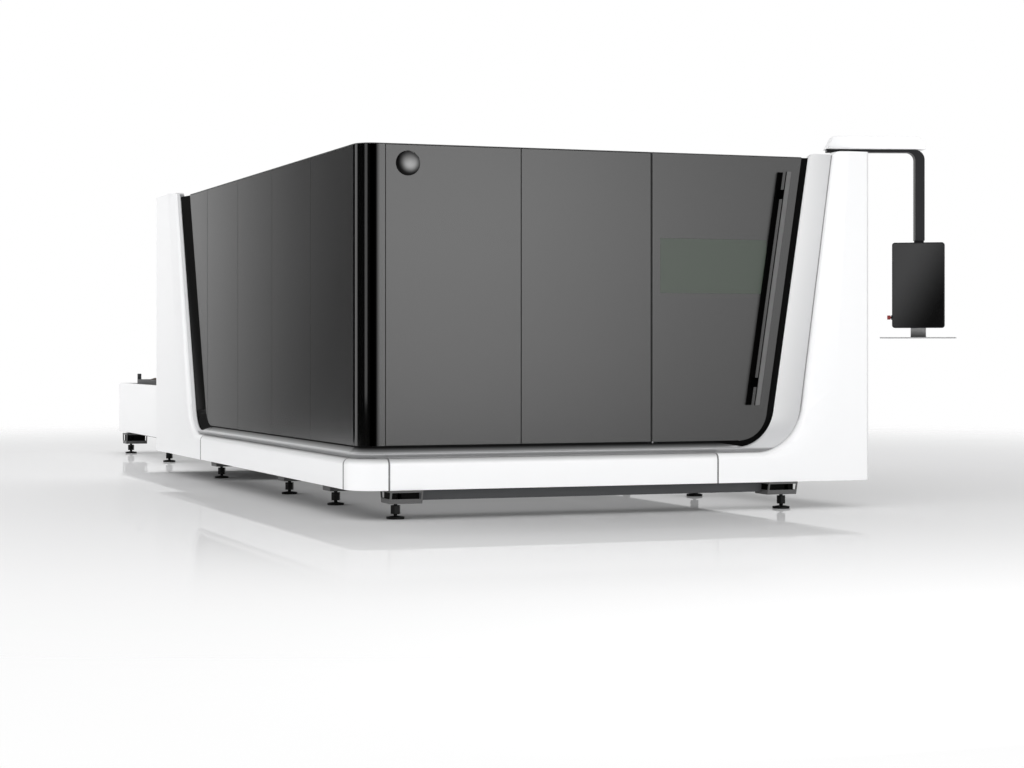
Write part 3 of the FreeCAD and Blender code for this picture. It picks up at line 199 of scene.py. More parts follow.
class ArmSettings(PropertyGroup):
    """Control arm and monitor"""
    tube: colour("Tube", "Powder coat of the arm and the monitor", (0.016, 0.016, 0.0175))
    glass: colour("Screen", "Glass of the monitor", (0.005, 0.005, 0.005))
    # the sheen is a painted reflection on the glass, grey at its upper left
    sheen: colour("Sheen", "Grey of the display behind its upper left", (0.058, 0.058, 0.059))
    button: colour("Button", "Stop button", (0.30, 0.045, 0.042))
    steel: colour("Bracket", "Brushed steel of the shelf's bracket", (0.30, 0.30, 0.30))
    shelf: colour("Shelf", "Sheet of the shelf", (0.35, 0.35, 0.355))


SETTINGS = {"laser_stage": StageSettings, "laser_mouldings": MouldingSettings,
            "laser_panels": PanelSettings, "laser_door": DoorSettings, "laser_feet": FootSettings,
            "laser_inside": InsideSettings, "laser_arm": ArmSettings}


# ---- finishes ----------------------------------------
def math_node(operation, swapped=False):
    """A method that adds a Math node for two values, the first of which is a signal."""
    def method(self, other):
        first, second = (other, self) if swapped else (self, other)
        return self.finish.node("Math", {0: first, 1: second}, operation=operation)
    return method


class Signal:
    """A shader socket that can be used in an expression: each operator adds a Math node."""

    def __init__(self, finish, socket):
        self.finish = finish
        self.socket = socket

    __add__ = math_node("ADD")
    __mul__ = math_node("MULTIPLY")
    __sub__ = math_node("SUBTRACT")
    __rsub__ = math_node("SUBTRACT", swapped=True)
    __pow__ = math_node("POWER")
    __gt__ = math_node("GREATER_THAN")
    __lt__ = math_node("LESS_THAN")


class Tree:
    """Shader nodes of a material or of the world, made one call each."""

    def __init__(self, tree):
        self.tree = tree
        self.tree.nodes.clear()

    def node(self, kind, inputs=None, output=0, **settings):
        """The output of a new shader node with these inputs and settings."""
        made = self.tree.nodes.new("ShaderNode" + kind)
        for name, value in settings.items():
            if name == "stops":
                ramp = made.color_ramp
                while len(ramp.elements) < len(value):
                    ramp.elements.new(0.5)
                for element, (position, shade) in zip(ramp.elements, value):
                    element.position = position
                    element.color = (*shade, 1.0)
            else:
                setattr(made, name, value)
        for name, value in (inputs or {}).items():
            self.feed(made.inputs[name], value)
        return Signal(self, made.outputs[output])

    def feed(self, socket, value):
        if isinstance(value, Signal):
            self.tree.links.new(value.socket, socket)
        elif socket.type == "RGBA":
            socket.default_value = (*value, 1.0)
        else:
            socket.default_value = value

    def part(self, vector, axis):
        """One coordinate of a vector."""
        return self.node("SeparateXYZ", {"Vector": vector}, axis)

    def fade(self, value, start, end, low=0.0, high=1.0, smooth=False):
        """A value mapped from one range to another, and held at its ends."""
        ends = {"From Min": start, "From Max": end, "To Min": low, "To Max": high}
        return self.node("MapRange", {"Value": value, **ends},
                         interpolation_type="SMOOTHSTEP" if smooth else "LINEAR")


class Finish(Tree):
    """A material under construction, with one Principled shader at its end."""

    def __init__(self, name, roughness=0.5, metallic=0.0, coat=0.0, **constants):
        self.material = bpy.data.materials.new(name)
        self.material.use_nodes = True
        super().__init__(self.material.node_tree)
        self.output = self.tree.nodes.new("ShaderNodeOutputMaterial")
        self.surface = self.tree.nodes.new("ShaderNodeBsdfPrincipled")
        self.tree.links.new(self.surface.outputs[0], self.output.inputs["Surface"])
        self.set("Roughness", roughness)
        self.set("Metallic", metallic)
        self.set("Coat Weight", coat)
        for socket, value in constants.items():
            self.set(socket.replace("_", " "), value)

    def set(self, socket, value):
        self.feed(self.surface.inputs[socket], value)

    def place(self, scale=(1.0, 1.0, 1.0)):
        """Object coordinates, stretched for a pattern with a direction."""
        where = self.node("TexCoord", output="Object")
        return self.node("Mapping", {"Vector": where, "Scale": scale})

    def along(self, axis):
        """Distance along one axis of the model, in metres."""
        return self.part(self.node("TexCoord", output="Object"), axis)

    def from_corner(self, axis, start, end, *values, **how):
        """A fade along an axis between two places, in millimetres from the same corner as at()."""
        origin = machine_corner["XYZ".index(axis)]
        return self.fade(self.along(axis), origin + start / 1000.0, origin + end / 1000.0,
                         *values, **how)

    def ends(self, axis, box, reach):
        """One within this reach of either end of a box along the axis, and nothing elsewhere."""
        first, last = (self.node("Math", {0: self.along(axis), 1: corner["XYZ".index(axis)],
                                          2: reach}, operation="COMPARE") for corner in box)
        return first + last

    def noise(self, scale, detail=2.0, stretch=(1.0, 1.0, 1.0), rough=0.5):
        return self.node("TexNoise", {"Vector": self.place(stretch), "Scale": scale,
                                      "Detail": detail, "Roughness": rough})

    def spangle(self, scale, channel):
        """Flat cells of a pattern, each with a value of its own."""
        cells = self.node("TexVoronoi", {"Vector": self.place(), "Scale": scale}, "Color")
        return self.node("SeparateColor", {"Color": cells}, channel)

    def ramp(self, factor, *stops):
        return self.node("ValToRGB", {"Fac": factor}, stops=stops)

    def mix(self, factor, first, second):
        return self.node("Mix", {0: factor, 6: first, 7: second}, 2, data_type="RGBA")

    def shades(self, factor, base, dark, light):
        """A colour that a pattern takes from one share of itself to another."""
        return self.mix(factor, shade_of(base, dark), shade_of(base, light))

    def vary(self, factor, base, spread):
        """A colour that a pattern darkens and lightens by this share."""
        return self.shades(factor, base, 1.0 - spread, 1.0 + spread)

    def done(self, colour, roughness, metallic=None, bump=None):
        """Feed the shader, with a bump given as (height, distance), and give the material."""
        self.set("Base Color", colour)
        self.set("Roughness", roughness)
        if metallic is not None:
            self.set("Metallic", metallic)
        if bump:
            relief = {"Height": bump[0], "Distance": bump[1], "Strength": 1.0}
            self.set("Normal", self.node("Bump", relief))
        return self.material


def shade_of(base, factor):
    return tuple(min(1.0, channel * factor) for channel in base)


def powder_coat(name, base, roughness, coat=0.0, spread=0.03, peel=0.00006, specular=0.5):
    """Baked powder: an even colour with faint clouds and a fine orange peel."""
    finish = Finish(name, coat=coat, Coat_Roughness=0.12, Specular_IOR_Level=specular)
    cloud = finish.noise(0.9, 3.0)
    return finish.done(finish.vary(cloud, base, spread), cloud * 0.06 + (roughness - 0.03),
                       bump=(finish.noise(260.0, 2.0), peel))


def panel_coat(name, base):
    """The even, shiny powder coat of the dark panels."""
    return powder_coat(name, base, 0.20, spread=0.02, peel=0.00001, specular=1.0)


def jointed_coat(name, base, top_shade=0.0):
    """White powder coat with painted shade in the gaps of the skirt's joints, as dark lines narrow in
    front and wider beside; the last argument is how much painted shade greys its rolled top edge."""
    skin, front_gap_shade, side_gap_shade, roll_start, roll_end = 0.030, 0.005, 0.011, 0.034, 0.002
    finish = Finish(name, coat=0.25, Coat_Roughness=0.12)
    cloud = finish.noise(0.9, 3.0)
    front_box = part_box("skirt_front")
    top = front_box[1].z
    height = finish.along("Z")
    in_front = finish.along("Y") < machine_corner.y + skin
    beside = finish.along("X") < machine_corner.x + skin
    front = finish.ends("X", front_box, front_gap_shade)
    side = finish.ends("Y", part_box("skirt_left"), side_gap_shade)
    # painted shade: the gaps of the joints are darkened, below the skirt's top only
    line = (front * in_front + side * beside) * (height < top)
    # painted shade greying the rolled top edge of the skirt
    rolled = finish.fade(height, top - roll_start, top - roll_end, 0.0, top_shade, smooth=True)
    plain = finish.mix(rolled, finish.vary(cloud, base, 0.008), shade_of(base, 0.40))
    return finish.done(finish.mix(line, plain, shade_of(base, 0.25)), cloud * 0.06 + 0.31)


def corner_wrap(name, base):
    """Powder coat with a painted dark reflection where the sheet wraps round the corner: the colour
    turns near black there and the gloss rises, with a band like polished metal towards the front.
    Each pair is where a fade starts and ends."""
    front_end, side_end = (158.0, 134.0), (176.0, 168.0)
    band_start, band_end = (96.0, 106.0), (156.0, 134.0)
    finish = Finish(name, Specular_IOR_Level=1.0)
    # painted dark reflection: near black round the corner
    dark_reflection_zone = finish.from_corner("X", *front_end) * finish.from_corner("Y", *side_end)
    plain = finish.vary(finish.noise(0.9, 3.0), base, 0.02)
    band = finish.from_corner("X", *band_end) * finish.from_corner("X", *band_start)
    return finish.done(finish.mix(dark_reflection_zone, plain, (0.002, 0.002, 0.002)), 0.20 - dark_reflection_zone * 0.13, band)


def brushed_metal(name, base, roughness, stretch):
    """Metal with drawn lines along one direction."""
    finish = Finish(name, metallic=1.0)
    lines = finish.noise(36.0, 4.0, stretch)
    cloud = finish.noise(2.2, 2.0)
    return finish.done(finish.vary(lines, base, 0.05),
                       lines * 0.10 + cloud * 0.06 + (roughness - 0.08), bump=(lines, 0.00004))


def painted_light_steel(name, base, low, high):
    """Drawn metal with painted light that brightens it from one height to another, in metres."""
    finish = Finish(name, metallic=1.0)
    lines = finish.noise(36.0, 4.0, (1, 1, 10))
    # painted light: brighter towards the top
    rise = finish.fade(finish.along("Z"), low, high)
    dark = finish.shades(lines, base, 0.65, 0.75)
    bright = finish.shades(lines, base, 2.9, 3.1)
    return finish.done(finish.mix(rise, dark, bright), lines * 0.10 + 0.29, bump=(lines, 0.00004))


def along_skirt(finish):
    """One along the skirt, and nothing where a band bends up into a column."""
    # the mask that keeps the silver's painted dark reflection on the straight runs
    bend_start, bend_end, front_depth, side_depth = 0.07, 0.17, 0.061, 0.2
    x, y = finish.along("X"), finish.along("Y")
    inside = y > machine_corner.y + front_depth
    on_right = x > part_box("skirt_right")[0].x - side_depth
    front = finish.fade(x, front_seam + bend_start, front_seam + bend_end) * (1.0 - inside)
    rear = finish.fade(y, rear_seam + bend_start, rear_seam + bend_end)
    right = finish.fade(y, right_seam - bend_start, right_seam - bend_end) * inside * on_right
    return (1.0 - front) * (1.0 - rear) * (1.0 - right)


def silver_finish(finish, base):
    """Colour, roughness and metal of satin silver paint, with a painted dark reflection on the slope
    that deepens towards its top and painted shade in the groove, so the crest between them stays
    bright."""
    crest_drop, crest_half, groove_start, groove_end = 0.027, 0.003, 0.004, 0.014
    cloud, grain = finish.noise(1.1, 2.0), finish.spangle(900.0, "Red")
    paint = finish.vary(cloud * 0.8 + grain * 0.2, base, 0.04)
    crest = slope_top - crest_drop
    height = finish.along("Z")
    slope = finish.fade(height, slope_top - 0.001, crest + crest_half)
    groove = finish.fade(height, crest - groove_start, crest - groove_end)
    # painted dark reflection on the slope above the crest, kept off the bends into the columns
    painted_slope_reflection = (1.0 - slope ** 1.5 * 0.65) * (height > crest + crest_half)
    paint = finish.mix(painted_slope_reflection * along_skirt(finish), paint, shade_of(base, 0.02))
    # painted shade in the groove below the crest
    paint = finish.mix(groove * 0.70, paint, shade_of(base, 0.20))
    return paint, grain * 0.04 + 0.28, 0.62


def silver_band(name, base, node=None, inner=0.0, outer=0.0):
    """Satin silver paint with metal flakes. On a slanted band a painted highlight brightens it
    towards the seal, and a line of painted shade ends it at the column; inner and outer are the leans
    of its two edges."""
    line_start, line_end, shaded_from, shaded_to, strength = 0.012, 0.007, 0.05, 0.15, 0.75
    finish = Finish(name)
    paint, roughness, metal = silver_finish(finish, base)
    if node:
        places = [vertex.co for vertex in nodes[node].data.vertices]
        top = max(place.z for place in places)
        level = [place.x for place in places if place.z > top - SAME_HEIGHT]
        start, end = min(level), max(level)
        x, height = finish.along("X"), finish.along("Z")
        drop = height - top
        across = finish.fade(x - drop * math.tan(inner), start, end)
        line = finish.fade(x - drop * math.tan(outer), end - line_start, end - line_end)
        upper = finish.fade(height, slope_top + shaded_from, slope_top + shaded_to, smooth=True)
        # painted highlight, whitening the band towards the seal
        paint = finish.mix((1.0 - across) * strength * upper, paint, (1.0, 1.0, 1.0))
        # painted shade: a dark line where the band meets the column
        paint = finish.mix(line * upper * strength, paint, shade_of(base, 0.30))
    return finish.done(paint, roughness, metal)


def seal_rubber(name, base, silver):
    """Rubber, but silver at a wedge's foot, where the band's slope runs on and narrows away."""
    narrowing, crest_drop, skin_start, skin_end = 0.19, 0.030, 0.060, 0.062
    finish = Finish(name, Specular_IOR_Level=0.15)
    fine = finish.noise(380.0, 3.0)
    black = finish.vary(finish.noise(3.0, 2.0), base, 0.12)
    y = finish.along("Y")
    front = finish.fade(finish.along("X"), front_seam, front_seam + narrowing)
    side = (finish.fade(y, rear_seam, rear_seam + narrowing)
            + finish.fade(y, right_seam, right_seam - narrowing))
    inside = finish.fade(y, machine_corner.y + skin_start, machine_corner.y + skin_end)
    line = slope_top - (front * (1.0 - inside) + side * inside) * crest_drop
    bare = line > finish.along("Z")
    # the silver foot carries the silver's painted dark reflection and painted shade
    paint, roughness, metal = silver_finish(finish, silver)
    roughness = bare * roughness + (1.0 - bare) * (fine * 0.12 + 0.56)
    return finish.done(finish.mix(bare, black, paint), roughness, bare * metal,
                       bump=(fine, 0.00004))


def moulded(name, base, roughness, coat=0.0, specular=0.5):
    """Moulded plastic or rubber with a fine grain."""
    finish = Finish(name, coat=coat, Coat_Roughness=0.06, Specular_IOR_Level=specular)
    fine = finish.noise(520.0, 3.0)
    cloud = finish.noise(3.0, 2.0)
    return finish.done(finish.vary(cloud, base, 0.12),
                       fine * 0.12 + cloud * 0.05 + (roughness - 0.08), bump=(fine, 0.00005))


def domed_metal(name, base, roughness, low, high):
    """Satin metal with a painted highlight a little right of and above the middle of a dome, fading
    to near black round its rim.
    """
    finish = Finish(name, metallic=1.0)
    cloud = finish.noise(9.0, 3.0)
    radius = (high.x - low.x) / 2.0
    # painted highlight, set a little right of and above the middle
    painted_highlight_centre = (low + high) / 2.0 + Vector((0.14, 0.0, 0.16)) * radius
    x = finish.along("X") - painted_highlight_centre.x
    z = finish.along("Z") - painted_highlight_centre.z
    away = (x * x + z * z) ** 0.5
    # the painted highlight fades to near black round the rim
    rim = finish.fade(away, radius * 0.35, radius * 1.05, smooth=True)
    return finish.done(finish.mix(rim, finish.vary(cloud, base, 0.04), shade_of(base, 0.04)),
                       cloud * 0.04 + (roughness - 0.02))


def plated_steel(name, base):
    """Dull zinc plating with soft spangles."""
    finish = Finish(name, metallic=0.9)
    tone = finish.spangle(120.0, "Green")
    cloud = finish.noise(14.0, 3.0)
    tint = finish.shades(tone * 0.5 + cloud * 0.5, base, 0.8, 1.25)
    return finish.done(tint, cloud * 0.2 + 0.32)


def threaded(name, base):
    """Plated screw: the thread's turns are rings of bump along its length."""
    finish = Finish(name, metallic=0.9)
    turns = finish.node("TexWave", {"Vector": finish.place(), "Scale": 64.0},
                        bands_direction="Z", wave_profile="TRI")
    cloud = finish.noise(30.0, 3.0)
    return finish.done(finish.shades(turns, base, 0.55, 1.2), cloud * 0.2 + 0.30,
                       bump=(turns, 0.0010))


def burnt_plate(name, base):
    """Bare slats: mill scale, heat tint and dross along the teeth."""
    heat_tint = (0.30, 0.20, 0.13)
    finish = Finish(name, metallic=0.55)
    scale = finish.noise(9.0, 5.0)
    dross = finish.noise(85.0, 4.0, rough=0.7)
    tint = finish.ramp(scale, (0.25, shade_of(base, 0.45)), (0.5, base), (0.72, heat_tint))
    return finish.done(finish.mix(dross > 0.60, tint, shade_of(base, 0.30)),
                       dross * 0.3 + 0.42, bump=(dross, 0.0008))


def tinted_glass(name, base):
    """Thick tinted sheet with a trace of dust on it."""
    finish = Finish(name, Specular_IOR_Level=0.8)
    dust = finish.noise(7.0, 4.0)
    return finish.done(finish.shades(dust, base, 0.95, 1.06), dust * 0.05 + 0.28)


def screen_glass(name, base, sheen, low, high):
    """Dark glass with a painted reflection: grey at its upper left, fading to the glass's dark
    towards its lower right.
    """
    finish = Finish(name, Specular_IOR_Level=0.25)
    down = finish.fade(finish.along("Z"), high.z, low.z)
    across = finish.fade(finish.along("Y"), high.y, low.y)
    # painted reflection: how far the grey sheen gives way to the dark glass
    dark = finish.fade(down * 0.55 + across * 0.60, 0.25, 1.0, smooth=True)
    return finish.done(finish.mix(dark, sheen, base), finish.noise(7.0, 4.0) * 0.04 + 0.12)


def handle_paint(name, plate, bar):
    """Black plate and standoffs; only the front of the bar is grey, and the bar's sides take the
    black as painted shade.
    """
    bar_face = 0.004
    finish = Finish(name, Specular_IOR_Level=0.03)
    # black plate and standoffs, and painted shade on the sides of the bar
    behind = finish.along("Y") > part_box("door_handle")[0].y + bar_face
    lines = finish.noise(180.0, 2.0, (1.0, 1.0, 0.05))
    brushed = finish.vary(lines, bar, 0.1)
    black = finish.vary(finish.noise(3.0, 2.0), plate, 0.1)
    return finish.done(finish.mix(behind, brushed, black), lines * 0.1 + 0.40)


# ---- modelling ----------------------------------------
def only(piece):
    """Leave everything unselected but this piece, and make it active."""
    bpy.ops.object.select_all(action="DESELECT")
    piece.select_set(True)
    bpy.context.view_layer.objects.active = piece


def edit(piece, choose=None):
    """Enter edit mode with the faces chosen by the test selected, or all of them."""
    only(piece)
    bpy.ops.object.mode_set(mode="EDIT")
    bpy.ops.mesh.select_mode(type="FACE")
    bpy.ops.mesh.select_all(action="SELECT" if choose is None else "DESELECT")
    if choose is not None:
        mesh = bmesh.from_edit_mesh(piece.data)
        for face in mesh.faces:
            if choose(face):
                face.select_set(True)
        bmesh.update_edit_mesh(piece.data)


def leave():
    bpy.ops.object.mode_set(mode="OBJECT")


def modify(piece, kind, **settings):
    """Add a modifier with these settings and apply it."""
    only(piece)
    bpy.ops.object.modifier_add(type=kind)
    modifier = piece.modifiers[-1]
    for name, value in settings.items():
        setattr(modifier, name, value)
    bpy.ops.object.modifier_apply(modifier=modifier.name)


def settle(piece, name, body, material, angle=35.0):
    """Name a finished piece, put its place into its mesh, and let it ride on its body."""
    only(piece)
    bpy.ops.object.transform_apply()
    bpy.ops.object.shade_smooth_by_angle(angle=math.radians(angle))
    piece.name = name
    piece.data.materials.clear()
    piece.data.materials.append(material)
    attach(piece, body)


def islands(node):
    """The boxes of a node's separate solids, as (low, high)."""
    mesh = bmesh.new()
    mesh.from_mesh(nodes[node].data)
    bmesh.ops.remove_doubles(mesh, verts=mesh.verts[:], dist=MERGE_DISTANCE)
    mesh.transform(nodes[node].matrix_world)
    left = set(mesh.verts)
    boxes = []
    while left:
        found = [left.pop()]
        for vertex in found:
            for edge in vertex.link_edges:
                other = edge.other_vert(vertex)
                if other in left:
                    left.remove(other)
                    found.append(other)
        places = [vertex.co for vertex in found]
        boxes.append(tuple(Vector([pick(place[axis] for place in places) for axis in range(3)])
                           for pick in (min, max)))
    mesh.free()
    return sorted(boxes, key=lambda box: tuple(round(value, 4) for value in box[0]))


def body_of(node):
    return nodes[node]["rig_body"]


def added(kind, **settings):
    """A new primitive, which is the only piece selected."""
    bpy.ops.object.select_all(action="DESELECT")
    getattr(bpy.ops.mesh, f"primitive_{kind}_add")(**settings)
    return bpy.context.active_object


def coat_node(node, material):
    """Give a node that stays as it is its finish."""
    nodes[node].data.materials.clear()
    nodes[node].data.materials.append(material)


def joined(pieces):
    """One piece made of several."""
    bpy.ops.object.select_all(action="DESELECT")
    for piece in pieces:
        piece.select_set(True)
    bpy.context.view_layer.objects.active = pieces[0]
    bpy.ops.object.join()
    return pieces[0]


def brick(low, high):
    """A block between two corners."""
    made = added("cube", size=1.0)
    made.scale = [end - start for start, end in zip(low, high)]
    made.location = [(start + end) / 2.0 for start, end in zip(low, high)]
    bpy.ops.object.transform_apply()
    return made


def prism(points, axis, start, end):
    """A solid whose outline is given as (distance along the side, height), through a depth."""
    made = added("plane", size=0.01)
    bpy.ops.object.mode_set(mode="EDIT")
    mesh = bmesh.from_edit_mesh(made.data)
    bmesh.ops.delete(mesh, geom=mesh.verts[:], context="VERTS")
    ring = [(along, start, up) if axis == "x" else (start, along, up) for along, up in points]
    mesh.faces.new([mesh.verts.new(corner) for corner in ring])
    bmesh.update_edit_mesh(made.data)
    bpy.ops.mesh.select_all(action="SELECT")
    push = (0.0, end - start, 0.0) if axis == "x" else (end - start, 0.0, 0.0)
    bpy.ops.mesh.extrude_region_move(TRANSFORM_OT_translate={"value": push})
    bpy.ops.mesh.select_all(action="SELECT")
    bpy.ops.mesh.normals_make_consistent(inside=False)
    leave()
    return made


def round_shoulder(piece, axis, sign, lean, radius):
    """Round the corner where a slanted edge meets the top of a piece on the front (axis x) or on
    the left or right (axis y); the sign tells to which side of the edge the piece lies."""
    spare, steps, edge_reach = 0.02, 8, 0.06
    side = 0 if axis == "x" else 1
    top = max(vertex.co.z for vertex in piece.data.vertices)
    level = [vertex.co for vertex in piece.data.vertices if vertex.co.z > top - SAME_HEIGHT]
    reach = [corner[side] for corner in level if axis == "x" or corner.y * sign > 0.0]
    begin = min(reach) if sign > 0 else max(reach)
    edge = [corner[1 - side] for corner in level if abs(corner[side] - begin) < edge_reach]
    run = radius * (1.0 - math.sin(lean)) / math.cos(lean)
    arc = []
    for step in range(steps + 1):
        angle = math.radians(90.0) + (math.radians(90.0) - lean) * step / steps
        arc.append((begin + sign * (run + radius * math.cos(angle)),
                    top - radius + radius * math.sin(angle)))
    away = -2.0 * spare * sign
    points = [(arc[0][0], top + spare)] + arc + [(arc[-1][0] + away, arc[-1][1]),
                                                 (begin + away, top + spare)]
    cutter = prism(points, axis, min(edge) - spare, max(edge) + spare)
    modify(piece, "BOOLEAN", object=cutter, operation="DIFFERENCE", solver="EXACT")
    bpy.data.objects.remove(cutter)


def dress(node, material, edge=0.0, angle=35.0, segments=2, shape=None):
    """Smooth, bevelled skin in place of a node: its own mesh, merged, with softened edges."""
    piece = bpy.data.objects.new(node + "_skin", nodes[node].data.copy())
    bpy.context.scene.collection.objects.link(piece)
    edit(piece)
    bpy.ops.mesh.remove_doubles(threshold=MERGE_DISTANCE)
    bpy.ops.mesh.select_all(action="SELECT")
    bpy.ops.mesh.dissolve_limited(angle_limit=math.radians(0.12))
    leave()
    if shape:
        shape(piece)
    if edge:
        modify(piece, "BEVEL", width=edge, segments=segments, limit_method="ANGLE",
               angle_limit=math.radians(angle), harden_normals=False, use_clamp_overlap=True)
    settle(piece, node + "_skin", body_of(node), material, angle)
    if edge:
        modify(piece, "WEIGHTED_NORMAL", keep_sharp=True)
    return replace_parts(piece, node)


def copies(model, spots):
    """Copies of a small model at each spot, every one with its own mesh, joined into one piece."""
    made = []
    for spot in spots:
        copy = bpy.data.objects.new("copy", model.data.copy())
        bpy.context.scene.collection.objects.link(copy)
        copy.matrix_world = Matrix.Translation(spot)
        made.append(copy)
    bpy.data.objects.remove(model)
    return joined(made)


def pan_screw(radius, height):
    """Low round-headed screw with a small drive recess, along +Z."""
    rim, recess_edge, recess_depth = height * 0.55, radius * 0.25, height * 0.4
    screw = added("cylinder", vertices=16, radius=radius, depth=height,
                  location=(0.0, 0.0, height / 2.0))
    bpy.ops.object.transform_apply()
    edit(screw, lambda face: face.normal.z > 0.9)
    bpy.ops.mesh.bevel(offset=rim, segments=3, affect="EDGES")
    leave()
    edit(screw, lambda face: face.normal.z > 0.99 and face.calc_center_median().z > height * 0.98)
    bpy.ops.mesh.inset(thickness=recess_edge)
    bpy.ops.mesh.extrude_region_move(TRANSFORM_OT_translate={"value": (0.0, 0.0, -recess_depth)})
    leave()
    return screw


# ---- operators ----------------------------------------
class Step:
    """What all the operators share: each does its own work on the scene."""

    def execute(self, context):
        self.work(context.scene)
        return {"FINISHED"}


class LASER_OT_stage(Step, Operator):
    """Set up the floor, the surroundings, the lamps and the camera"""
    bl_idname = "laser_cutter.stage"
    bl_label = "Studio"

    def lamp(self, name, place, aim, size, watts, mirrored=False):
        light = bpy.data.lights.new(name, "AREA")
        light.shape = "RECTANGLE"
        light.size, light.size_y = size
        light.energy = watts
        lamp = bpy.data.objects.new(name, light)
        lamp.location = place
        lamp.rotation_euler = (aim - place).to_track_quat("-Z", "Y").to_euler()
        lamp.visible_camera = False
        lamp.visible_glossy = mirrored
        bpy.context.scene.collection.objects.link(lamp)

    def surroundings(self, strength, lean, back, ceiling):
        """Light that leans to the left; what shines sees a white north and a dark south."""
        north_start, north_end, ceiling_start, ceiling_end = 0.38, 0.52, 0.10, 0.75
        world = bpy.data.worlds.new("studio")
        bpy.context.scene.world = world
        world.use_nodes = True
        air = Tree(world.node_tree)
        where = air.node("TexCoord", output="Generated")
        x, y, z = (air.part(where, axis) for axis in "XYZ")
        north = air.fade(y, north_start, north_end, smooth=True)
        shown = air.fade(z, ceiling_start, ceiling_end, 1.0, ceiling, smooth=True) * north
        soft = strength - x * lean + y * back
        shiny = air.node("LightPath", output="Is Glossy Ray")
        clear = air.node("LightPath", output="Is Transmission Ray")
        seen = air.node("LightPath", output="Is Camera Ray")
        level = air.node("Mix", {0: shiny + clear, 2: soft, 3: shown})
        level = air.node("Mix", {0: seen, 2: level, 3: 1.0})
        sky = air.node("Background", {"Color": (1.0, 1.0, 1.0), "Strength": level})
        out = air.tree.nodes.new("ShaderNodeOutputWorld")
        air.feed(out.inputs["Surface"], sky)

    def card(self, name, low, high, rise, fall, share, glow):
        """Upright cloth that only reflections show. Its glow rises along X between two places,
        falls to a share of itself between two more, and is less near the floor."""
        dim_height, full_height, dim_share = 0.2, 1.9, 0.72
        cloth = added("plane", size=1.0)
        cloth.name = name
        corners = (low, Vector((high.x, low.y, low.z)), Vector((low.x, low.y, high.z)), high)
        for vertex, corner in zip(cloth.data.vertices, corners):
            vertex.co = corner
        black = (0.0, 0.0, 0.0)
        weave = Finish(name, roughness=1.0, Specular_IOR_Level=0.0)
        weave.set("Base Color", weave.mix(weave.noise(3.0), black, (0.004, 0.004, 0.004)))
        across = weave.from_corner("X", *rise, smooth=True)
        back = weave.from_corner("X", *fall, 1.0, share, smooth=True)
        up = weave.fade(weave.along("Z"), dim_height, full_height, dim_share, 1.0)
        weave.set("Emission Color", weave.mix(across * back * up, black, (glow, glow, glow)))
        weave.set("Emission Strength", 1.0)
        cloth.data.materials.append(weave.material)
        for ray in ("camera", "diffuse", "shadow", "transmission"):
            setattr(cloth, "visible_" + ray, False)

    def lay_floor(self, chosen):
        """A wide floor that mirrors near the machine and fades into the white far away."""
        width, mirror_roughness, far = 400.0, 0.02, 2.6
        floor = added("grid", x_subdivisions=4, y_subdivisions=4, size=width)
        floor.name = "studio_floor"
        paint = Finish("studio_floor", roughness=0.9, Specular_IOR_Level=0.0)
        cloud = paint.noise(0.4, 2.0)
        paint.set("Base Color", paint.shades(cloud, chosen.floor, 0.995, 1.0))
        shine = paint.node("BsdfGlossy", {"Roughness": mirror_roughness})
        matt = Signal(paint, paint.surface.outputs[0])
        x, y, side = paint.along("X"), paint.along("Y"), chosen.gloss_side
        front = paint.fade(y, machine_corner.y - chosen.gloss_reach, machine_corner.y, smooth=True)
        rear = paint.fade(y, cad_high.y + side, cad_high.y, smooth=True)
        left = paint.fade(x, cad_low.x - side, cad_low.x, smooth=True)
        right = paint.fade(x, cad_high.x + side, cad_high.x, smooth=True)
        share = front * rear * left * right * chosen.gloss
        both = paint.node("MixShader", {0: share, 1: matt, 2: shine})
        reach = paint.node("VectorMath", {0: paint.place()}, 1, operation="LENGTH")
        fade = paint.fade(reach, chosen.clear, chosen.clear * far, smooth=True)
        open_air = paint.node("BsdfTransparent")
        whole = paint.node("MixShader", {0: fade, 1: both, 2: open_air})
        paint.tree.links.new(whole.socket, paint.output.inputs["Surface"])
        floor.data.materials.append(paint.material)

    def camera(self, scene, place):
        """A level camera that looks at the front left corner from the height of the panels."""
        turn, lens, shift, far = -20.56, 77.49, -0.0318, 1000.0
        camera = bpy.data.objects.new("camera", bpy.data.cameras.new("camera"))
        camera.location = place
        camera.rotation_euler = (math.radians(90.0), 0.0, math.radians(turn))
        camera.data.lens = lens
        camera.data.shift_y = shift
        camera.data.clip_end = far
        scene.collection.objects.link(camera)
        scene.camera = camera

    def work(self, scene):
        chosen = scene.laser_stage
        scene.view_settings.view_transform = "Standard"
        self.lay_floor(chosen)
        self.surroundings(chosen.sky, chosen.lean, chosen.back, chosen.ceiling)
        self.lamp("front", at(1700, -6700, 450), at(1700, 0, 350), (5.0, 0.8), chosen.front)
        self.lamp("key", at(-3600, -6200, 6800), at(1200, 900, 600), (6.5, 6.5), chosen.key)
        self.lamp("side", at(-7000, 2500, 1500), at(0, 2500, 700), (6.0, 3.0), chosen.side)
        self.lamp("under", at(1500, 2000, 150), at(1500, 2000, 0), (2.3, 3.4), chosen.under)
        self.lamp("edge", at(-5400, -4000, 1750), at(80, 60, 1500), (2.0, 2.6), chosen.edge, True)
        self.card("left_card", at(-7000, 9000, -1500), at(-650, 9000, 6000), (-2300, -500),
                  (-600, 0), 1.0, chosen.left_glow)
        self.card("front_card", at(-900, -6200, 20), at(12000, -6200, 3400), (-200, 1700),
                  (2700, 6000), 0.5, chosen.front_glow)
        self.camera(scene, at(-3217.86, -10898.14, 874.47))


